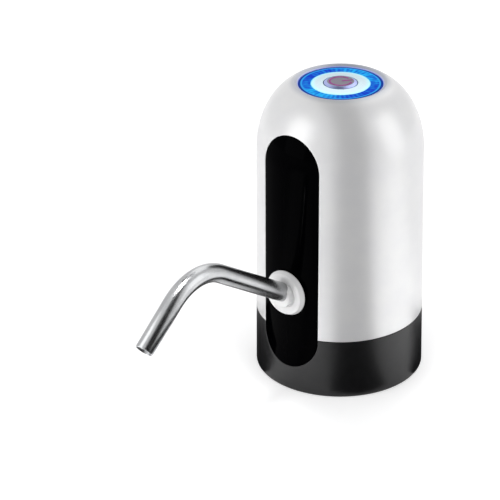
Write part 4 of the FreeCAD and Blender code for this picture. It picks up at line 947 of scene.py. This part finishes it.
# %% The rings of the base
RELIEF_RADIUS = 28.5
SOCKET_RADIUS = 27.9
SOCKET_LAND = measure("neck_grip_ring")[0]
SOCKET_OUTSIDE = SOCKET_RADIUS + 2.0
CEILING = 24.0
CEILING_TOP = PARTING - 0.4
TONGUE_OUTSIDE = skin(PARTING) - WALL - 0.1
TONGUE_INSIDE = TONGUE_OUTSIDE - 1.4
TONGUE_TOP = PARTING + 4.2
NIPPLE_HOLE = 5.3
FOOT_ROUND = 0.8
BASE_EDGE = 0.2
SKIRT_ROWS = 8

window_foot = WINDOW_LOW - WINDOW_HALF - EDGE_ROUND
skirt = rounded([
    (skin(CEILING, WALL), CEILING, 0.6), (skin(0, WALL), 0, 0.3), (skin(0), 0, FOOT_ROUND),
    (skin(window_foot), window_foot, 0), (SOCKET_OUTSIDE, CEILING, 0),
])[:-2]
skirt_top = skirt[-1].y
for k in range(1, SKIRT_ROWS):
    height = skirt_top + (window_foot - skirt_top) * k / SKIRT_ROWS
    skirt.append(Vector((skin(height), height)))
base_spots = foot_spots + [("side", WINDOW_LOW), ("side", PARTING - BASE_EDGE)]
inward = rounded([
    (TONGUE_OUTSIDE, PARTING, 0), (TONGUE_OUTSIDE, TONGUE_TOP, 0.3),
    (TONGUE_INSIDE, TONGUE_TOP, 0.3), (TONGUE_INSIDE, CEILING_TOP, 0.3),
    (NIPPLE_HOLE, CEILING_TOP, 0.1), (NIPPLE_HOLE, CEILING, 0.1), (RELIEF_RADIUS, CEILING, 0.3),
    (RELIEF_RADIUS, SOCKET_LAND, 0), (SOCKET_RADIUS, SOCKET_LAND, 0.1), (SOCKET_RADIUS, 0, 0.5),
    (SOCKET_OUTSIDE, 0, 0.3), (SOCKET_OUTSIDE, CEILING, 0.6), (skin(CEILING, WALL), CEILING, 0),
])[1:-1]

rings = [full_ring(*p) for p in skirt] + [window_ring(spot) for spot in base_spots]
rings.append(window_ring(("side", PARTING), least=BASE_EDGE))
rings.append(circle_behind(rings[-1], TONGUE_OUTSIDE, PARTING))
rings += [full_ring(*p) for p in inward]
base_skin = closed_mesh("base_skin", skin_faces(rings + rings[:1]))
dress(base_skin, "black_base", "housing", ["base_housing"])

# %% [markdown]
# ## The front panel
# The panel is a strip of acrylic, thermoformed to the casing's curve and glued into the recess.
# Its rows run across from edge to edge, front and back, with a polished round along the rim. One
# round hole lets the spout's barrel through.

# %% The front panel
PANEL_DEPTH = 1.2
PANEL_ROUND = 0.25
PANEL_COLUMNS = 30
PANEL_ROWS = 78
PANEL_CAP_ROWS = 20
BARREL_HOLE, BARREL_EDGE = 6.82, 0.2
BARREL_REACH, BARREL_MARGIN = 9.0, 5


def panel_ring(spot):
    """A closed ring across the panel: front, edge, back, edge."""
    rim = [(*window_edge(spot, -WINDOW_GAP - PANEL_ROUND * (1 - s)), PANEL_ROUND * (1 - c))
           for s, c in quarter(EDGE_STEPS)]
    (near_half, near_level, _), (half, level, _) = rim[0], rim[-1]
    shares = [2 * k / PANEL_COLUMNS - 1 for k in range(PANEL_COLUMNS + 1)]
    return ([wall_point(near_half * share, near_level) for share in shares]
            + [wall_point(*point) for point in rim[1:]]
            + [wall_point(-half * share, level, PANEL_DEPTH) for share in shares]
            + [wall_point(-across, height, depth) for across, height, depth in rim[:0:-1]])


panel_foot_spots, panel_head_spots = cap_spots(PANEL_CAP_ROWS)
straight = [("side", WINDOW_LOW + (WINDOW_HIGH - WINDOW_LOW) * k / PANEL_ROWS)
            for k in range(PANEL_ROWS)]
rings = [panel_ring(spot) for spot in panel_foot_spots + straight + panel_head_spots]
back_start = PANEL_COLUMNS + 1 + EDGE_STEPS
back_grid = [ring[back_start:back_start + PANEL_COLUMNS + 1][::-1] for ring in rings]
levels = [ring[0][2] for ring in rings]
faces = set_hole(skin_faces(rings), rings, back_grid,
                 rows_round(levels, SPOUT_HEIGHT, BARREL_REACH),
                 (BARREL_MARGIN, PANEL_COLUMNS - BARREL_MARGIN), FRONT, SPOUT_HEIGHT,
                 [round_hole(BARREL_HOLE + BARREL_EDGE), round_hole(BARREL_HOLE, depth=BARREL_EDGE),
                  round_hole(BARREL_HOLE, depth=PANEL_DEPTH)])
dress(closed_mesh("front_panel_strip", faces), "panel_gloss", "housing", ["front_panel"])

# %% [markdown]
# ## The spout's collar
# The collar is moulded round the tube in white gloss ABS. It is round about the spout's level
# axis: a barrel that turns in the casing, a flared flange whose face dips to a shallow hollow,
# and a raised hub that the tube leaves. A lathe profile with soft corners gives all of it.

# %% The collar
COLLAR_DEPTH = 4.0
HUB_TOP, BARREL_BACK = (-y for y in measure("outlet_collar", 1))
COLLAR_BACK = HUB_TOP - COLLAR_DEPTH
collar = lathe([
    (0, BARREL_BACK, 0), (6.5, BARREL_BACK, 0.4), (6.5, COLLAR_BACK, 0), (10.1, COLLAR_BACK, 0.12),
    (10.1, COLLAR_BACK + 0.6, 0.4), (9.2, COLLAR_BACK + 2.25, 0.45), (7.9, COLLAR_BACK + 2.5, 1.4),
    (6.0, COLLAR_BACK + 2.2, 0.2), (5.75, COLLAR_BACK + 1.7, 0.1), (5.45, COLLAR_BACK + 1.7, 0.1),
    (5.4, COLLAR_BACK + 2.6, 0.1), (5.15, HUB_TOP + 0.6, 0.4), (0, HUB_TOP + 0.6, 0),
], SMOOTH)


def face_forward(x, y, z):
    """Turn the lathe's upright axis to point forwards, at the spout's height."""
    return x, -z, y + SPOUT_HEIGHT


collar = closed_mesh("spout_collar", moved(collar, face_forward))
dress(collar, "collar_white", "spout", ["outlet_collar"])

# %% [markdown]
# ## A Geometry Nodes tree becomes a piece
# The tube, the ribs and the screw bosses follow a path or repeat, so rules draw them. A tree has
# named inputs for its sizes. The helpers here feed them by their identifiers, let Blender work
# the tree out, and keep the result as a plain mesh without the modifier.

# %% Build, run and keep
def new_tree(name, **kinds):
    """A geometry tree with one named input for each size. Returns it, its inputs and its end."""
    tree = bpy.data.node_groups.new(name, "GeometryNodeTree")
    for title, kind in kinds.items():
        tree.interface.new_socket(title, in_out="INPUT", socket_type="NodeSocket" + kind)
    tree.interface.new_socket("Shape", in_out="OUTPUT", socket_type="NodeSocketGeometry")
    given, end = tree.nodes.new("NodeGroupInput"), tree.nodes.new("NodeGroupOutput")
    print(name, "takes", ", ".join(kinds))
    return tree, given.outputs, end.inputs


def finish_tree(tree, shape, material, end):
    """Every tree ends the same way: real geometry with its material."""
    real = add(tree, "GeometryNodeRealizeInstances", {"Geometry": shape})[0]
    dressed = add(tree, "GeometryNodeSetMaterial", {"Geometry": real, "Material": material})[0]
    tree.links.new(dressed, end["Shape"])


def settled(piece):
    """Replace an object's modifiers by the mesh that they make."""
    graph = bpy.context.evaluated_depsgraph_get()
    mesh = bpy.data.meshes.new_from_object(piece.evaluated_get(graph))
    piece.modifiers.clear()
    piece.data = mesh
    crisp(mesh)
    return piece


def grown(name, tree, sizes, start=None):
    """An object with the tree on it, its inputs set by their identifiers."""
    piece = in_scene(name, start or bpy.data.meshes.new(name))
    modifier = piece.modifiers.new("grow", "NODES")
    modifier.node_group = tree
    for socket in tree.interface.items_tree:
        if socket.in_out == "INPUT" and socket.name in sizes:
            modifier[socket.identifier] = sizes[socket.name]
    return piece


# %% [markdown]
# ## The spout
# The spout is a thin stainless tube, bent twice on a mandrel and polished. Its rule is short:
# four corners, a bend radius at each inner corner and a circle swept along. Fillet Curve takes a
# radius for each corner, and Curve to Mesh sweeps the circle. Solidify then gives the tube its
# wall, and a small bevel breaks the cut edge at the tip.

# %% The tube's tree
TUBE_SIDES = 72
tube_tree, given, end = new_tree("bent_tube", Corners="Geometry", Tube_Radius="Float",
                                 Bend_Steps="Int", Material="Material")
bend_radius = add(tube_tree, "GeometryNodeInputNamedAttribute", {"Name": "bend_radius"},
                  data_type="FLOAT")[0]
line = add(tube_tree, "GeometryNodeMeshToCurve", {"Mesh": given["Corners"]})[0]
bent = add(tube_tree, "GeometryNodeFilletCurve",
           {"Curve": line, "Count": given["Bend_Steps"], "Radius": bend_radius}, mode="POLY")[0]
section = add(tube_tree, "GeometryNodeCurvePrimitiveCircle",
              {"Resolution": TUBE_SIDES, "Radius": given["Tube_Radius"]})[0]
swept = add(tube_tree, "GeometryNodeCurveToMesh", {"Curve": bent, "Profile Curve": section})[0]
finish_tree(tube_tree, swept, given["Material"], end)

# %% The tube
TUBE_RADIUS = 4.0
TUBE_WALL = 0.5
TIP_EDGE = 0.12
SPOUT_RISE, SPOUT_FALL = math.radians(32.2), math.radians(39.0)
ELBOW_BEND, CREST_BEND, BEND_STEPS = 8.0, 25.0, 28
ELBOW_REACH, TIP_REACH, TIP_RISE = 0.86, 88.4, 10.3
elbow = COLLAR_BACK + ELBOW_REACH
tip_reach, tip_height = elbow + TIP_REACH, SPOUT_HEIGHT + TIP_RISE
crest_run = ((tip_reach - elbow) * math.tan(SPOUT_FALL) - (SPOUT_HEIGHT - tip_height)) / (
    math.tan(SPOUT_RISE) + math.tan(SPOUT_FALL))
# Distance in front of the axis, height and bend radius of each corner.
tube_corners = [
    (-measure("spout_tube", 1)[1], SPOUT_HEIGHT, 0.0),
    (elbow, SPOUT_HEIGHT, ELBOW_BEND),
    (elbow + crest_run, SPOUT_HEIGHT + crest_run * math.tan(SPOUT_RISE), CREST_BEND),
    (tip_reach, tip_height, 0.0),
]
spots = [(0, -out * MM, height * MM) for out, height, _ in tube_corners]
line_mesh = bpy.data.meshes.new("spout_line")
line_mesh.from_pydata(spots, [(0, 1), (1, 2), (2, 3)], [])
bends = line_mesh.attributes.new("bend_radius", "FLOAT", "POINT").data
bends.foreach_set("value", [bend * MM for _, _, bend in tube_corners])
tube = grown("spout_pipe", tube_tree, {
    "Tube_Radius": TUBE_RADIUS * MM, "Bend_Steps": BEND_STEPS,
    "Material": finishes["spout_steel"]}, line_mesh)
wall = tube.modifiers.new("wall", "SOLIDIFY")
wall.thickness, wall.offset, wall.use_even_offset = TUBE_WALL * MM, -1.0, True
rim = tube.modifiers.new("rim", "BEVEL")
rim.width, rim.segments = TIP_EDGE * MM, 2
rim.limit_method, rim.angle_limit = "ANGLE", math.radians(60)
dress(settled(tube), "spout_steel", "spout", ["spout_tube"])

# %% [markdown]
# ## The crown
# A clear ring sits in the lip and glows over the diodes below it. Inside it lies a shallow dish,
# and in the dish a button with a bevelled edge. All three are lathe work. The ring's underside
# has 48 prisms that spread the light into streaks.

# %% The light ring
RING_OUTSIDE, RING_INSIDE = 17.9, 12.5
PRISM_STEPS, PRISM_DEPTH, PRISM_FLANK = 8, 0.9, 0.45
ring = lathe([
    (RING_INSIDE, SEAT_FLOOR, 0), (SHELF_RADIUS - 0.1, SEAT_FLOOR, 0),
    (RING_OUTSIDE, SEAT_FLOOR, 0.1), (RING_OUTSIDE, RING_TOP, 0.35), (RING_INSIDE, RING_TOP, 0.15),
], PRISMS * PRISM_STEPS, 5)


def prism(x, y, z):
    """Lift the ring's floor into a notch between its prisms, and leave every other point."""
    if z > SEAT_FLOOR + 0.001 or math.hypot(x, y) > SHELF_RADIUS:
        return x, y, z
    phase = (math.atan2(y, x) / FULL_TURN * PRISMS + 0.5) % 1 - 0.5
    return x, y, z + PRISM_DEPTH * max(0.0, 1 - abs(phase) / PRISM_FLANK)


dress(closed_mesh("glow_ring", moved(ring, prism)), "ring_clear", "housing", ["light_ring"])

# %% The dish and the button
# Each outline lists radius, height and corner radius.
DISH_FOOT, CREST = measure("trim_dish")
CAP_FOOT, CAP_TOP = measure("button_cap")
SLEEVE_FLOOR = CAP_FOOT + 1.0
dish = lathe([
    (12.4, DISH_FOOT, 0), (12.4, CREST - 0.4, 0.15), (7.4, CREST, 0.12), (7.4, SLEEVE_FLOOR, 0),
    (8.6, SLEEVE_FLOOR, 0), (8.6, CREST - 1.2, 0), (11.2, CREST - 1.6, 0), (11.2, DISH_FOOT, 0),
])
dress(closed_mesh("crown_dish", dish), "dish_pearl", "housing", ["trim_dish"])
cap = lathe([
    (0, CAP_TOP, 0), (5.8, CAP_TOP, 0.35), (7.2, CAP_TOP - 0.7, 0.12),
    (7.2, SLEEVE_FLOOR - 0.2, 0), (8.1, SLEEVE_FLOOR - 0.2, 0), (8.1, CAP_FOOT, 0),
    (6.2, CAP_FOOT, 0), (6.2, CAP_TOP - 1.4, 0), (0, CAP_TOP - 1.4, 0),
])
dress(closed_mesh("push_button", cap), "button_metal", "button", ["button_cap"])

# %% [markdown]
# ## The power symbol
# The symbol is an acrylic inlay, an open ring and a bar with round ends, that stands a hair
# proud. Each stroke is a ladder of rungs along its centre line, and each rung is a small closed
# outline with softened upper corners.

# %% The power symbol
STROKE_HALF = 0.42
ICON_RING, ICON_GAP, ICON_TURN = 4.6, math.radians(66), math.radians(54)
BAR_START, BAR_LENGTH = 0.95, 4.0
ARC_STEPS, BAR_STEPS, END_STEPS = 72, 4, 8
ICON_TOP = measure("button_icon")[1]
ICON_EDGE, ICON_DEPTH = 0.06, 0.48
icon_foot, icon_shoulder = ICON_TOP - ICON_DEPTH, ICON_TOP - ICON_EDGE


def stroke(line):
    """Faces of a raised stroke with round ends along a line of points."""
    first, last = (line[1] - line[0]).normalized(), (line[-1] - line[-2]).normalized()
    ends = quarter(END_STEPS)[:-1]
    rungs = [(line[0] - first * STROKE_HALF * c, first, s) for s, c in ends]
    for k, spot in enumerate(line):
        along = (line[min(k + 1, len(line) - 1)] - line[max(k - 1, 0)]).normalized()
        rungs.append((spot, along, 1.0))
    rungs += [(line[-1] + last * STROKE_HALF * c, last, s) for s, c in reversed(ends)]
    rings = []
    for spot, along, width in rungs:
        side = Vector((-along.y, along.x)) * width
        wide, narrow = side * STROKE_HALF, side * (STROKE_HALF - ICON_EDGE)
        rung = [(spot - wide, icon_foot), (spot - wide, icon_shoulder), (spot - narrow, ICON_TOP),
                (spot + narrow, ICON_TOP), (spot + wide, icon_shoulder), (spot + wide, icon_foot)]
        rings.append([(*place, height) for place, height in rung])
    return skin_faces(rings) + [rings[0], rings[-1]]


def turned(angle, distance):
    """A flat point at an angle and a distance from the middle."""
    return Matrix.Rotation(angle, 2) @ Vector((distance, 0))


arc_start, arc_sweep = ICON_TURN + ICON_GAP / 2, FULL_TURN - ICON_GAP
arc = stroke([turned(arc_start + arc_sweep * k / ARC_STEPS, ICON_RING)
              for k in range(ARC_STEPS + 1)])
bar = stroke([turned(ICON_TURN, BAR_START + BAR_LENGTH * k / BAR_STEPS)
              for k in range(BAR_STEPS + 1)])
symbol = closed_mesh("power_symbol", arc + bar)
dress(symbol, "icon_violet", "button", ["button_icon"])

# %% [markdown]
# ## Ribs and bosses
# Inside, the mould repeats itself: twelve webs stiffen the base's skirt, four bosses take the
# casing screws and three more hang the light's carrier. One tree places them all. It copies a
# part round a circle, turned to face outwards, and lifts the whole ring to its height.

# %% A ring of parts
ring_tree, given, end = new_tree("ring_of_parts", Part="Object", Count="Int", Material="Material",
                                 Circle_Radius="Float", Turn="Float", Height="Float")


def upright(length):
    """A vector along the pump's axis, from a socket."""
    return add(ring_tree, "ShaderNodeCombineXYZ", {"Z": length})[0]


part = add(ring_tree, "GeometryNodeObjectInfo", {"Object": given["Part"]})["Geometry"]
spread = add(ring_tree, "GeometryNodeMeshCircle",
             {"Vertices": given["Count"], "Radius": given["Circle_Radius"]})[0]
index = add(ring_tree, "GeometryNodeInputIndex")[0]
facing = maths(ring_tree, "MULTIPLY", maths(ring_tree, "DIVIDE", index, given["Count"]), FULL_TURN)
copies = add(ring_tree, "GeometryNodeInstanceOnPoints",
             {"Points": spread, "Instance": part, "Rotation": upright(facing)})[0]
placed = add(ring_tree, "GeometryNodeTransform", {
    "Geometry": copies, "Translation": upright(given["Height"]),
    "Rotation": upright(given["Turn"])})[0]
finish_tree(ring_tree, placed, given["Material"], end)


def ring_of(name, faces, count, radius, turn, height, slot):
    """Copies of a part round the axis as one piece. The single part is taken away."""
    part = closed_mesh("part", faces)
    piece = settled(grown(name, ring_tree, {
        "Part": part, "Count": count, "Circle_Radius": radius * MM, "Turn": math.radians(turn),
        "Height": height * MM, "Material": finishes[slot]}))
    bpy.data.objects.remove(part)
    dress(piece, slot, "housing")


# %% The ribs
RIBS, RIB_FOOT, RIB_HALF = 12, 2.0, 0.6
SINK = 0.4
rib_top = CEILING + SINK
rib_outline = rounded([(-RIB_HALF, RIB_FOOT, 0.3), (RIB_HALF, RIB_FOOT, 0.3),
                       (RIB_HALF, rib_top, 0), (-RIB_HALF, rib_top, 0)])
rib_ends = [[(x, across, height) for across, height in rib_outline]
            for x in (-SINK, skin(0, WALL) + SINK - SOCKET_OUTSIDE)]
rib = skin_faces(rib_ends) + rib_ends
ring_of("skirt_ribs", rib, RIBS, SOCKET_OUTSIDE, 0.0, 0.0, "black_base")

# %% The bosses
BOSSES, SCREW_CIRCLE = 4, 31.83
BOSS_PILOT, BOSS_RADIUS, BOSS_HEIGHT = 1.0, 2.5, 14.9
boss = lathe([(BOSS_PILOT, 0, 0.2), (BOSS_RADIUS, 0, 0.2), (BOSS_RADIUS, BOSS_HEIGHT, 0.3),
              (BOSS_PILOT, BOSS_HEIGHT, 0.2)], COARSE)
ring_of("casing_screw_bosses", boss, BOSSES, SCREW_CIRCLE, 45.0, PARTING + 0.1, "white_shell")

# %% The hangers
HANGERS, HANGER_CIRCLE, HANGER_RADIUS, HANGER_PILOT = 3, 24.0, 2.6, 0.8
hanger_foot = measure("light_board")[0]
hanger_top = next(h for h in crown_heights(SHOULDER_HEIGHT, TOTAL_HEIGHT, WALL / 2, 200)
                  if skin(h, WALL / 2) < HANGER_CIRCLE + HANGER_RADIUS)
hanger = lathe([(HANGER_PILOT, hanger_foot, 0.15), (HANGER_RADIUS, hanger_foot, 0.3),
                (HANGER_RADIUS, hanger_top, 0), (HANGER_PILOT, hanger_top, 0)], COARSE)
ring_of("carrier_hangers", hanger, HANGERS, HANGER_CIRCLE, 90.0, 0.0, "white_shell")
print("hangers from", round(hanger_foot, 2), "to", round(hanger_top, 2))
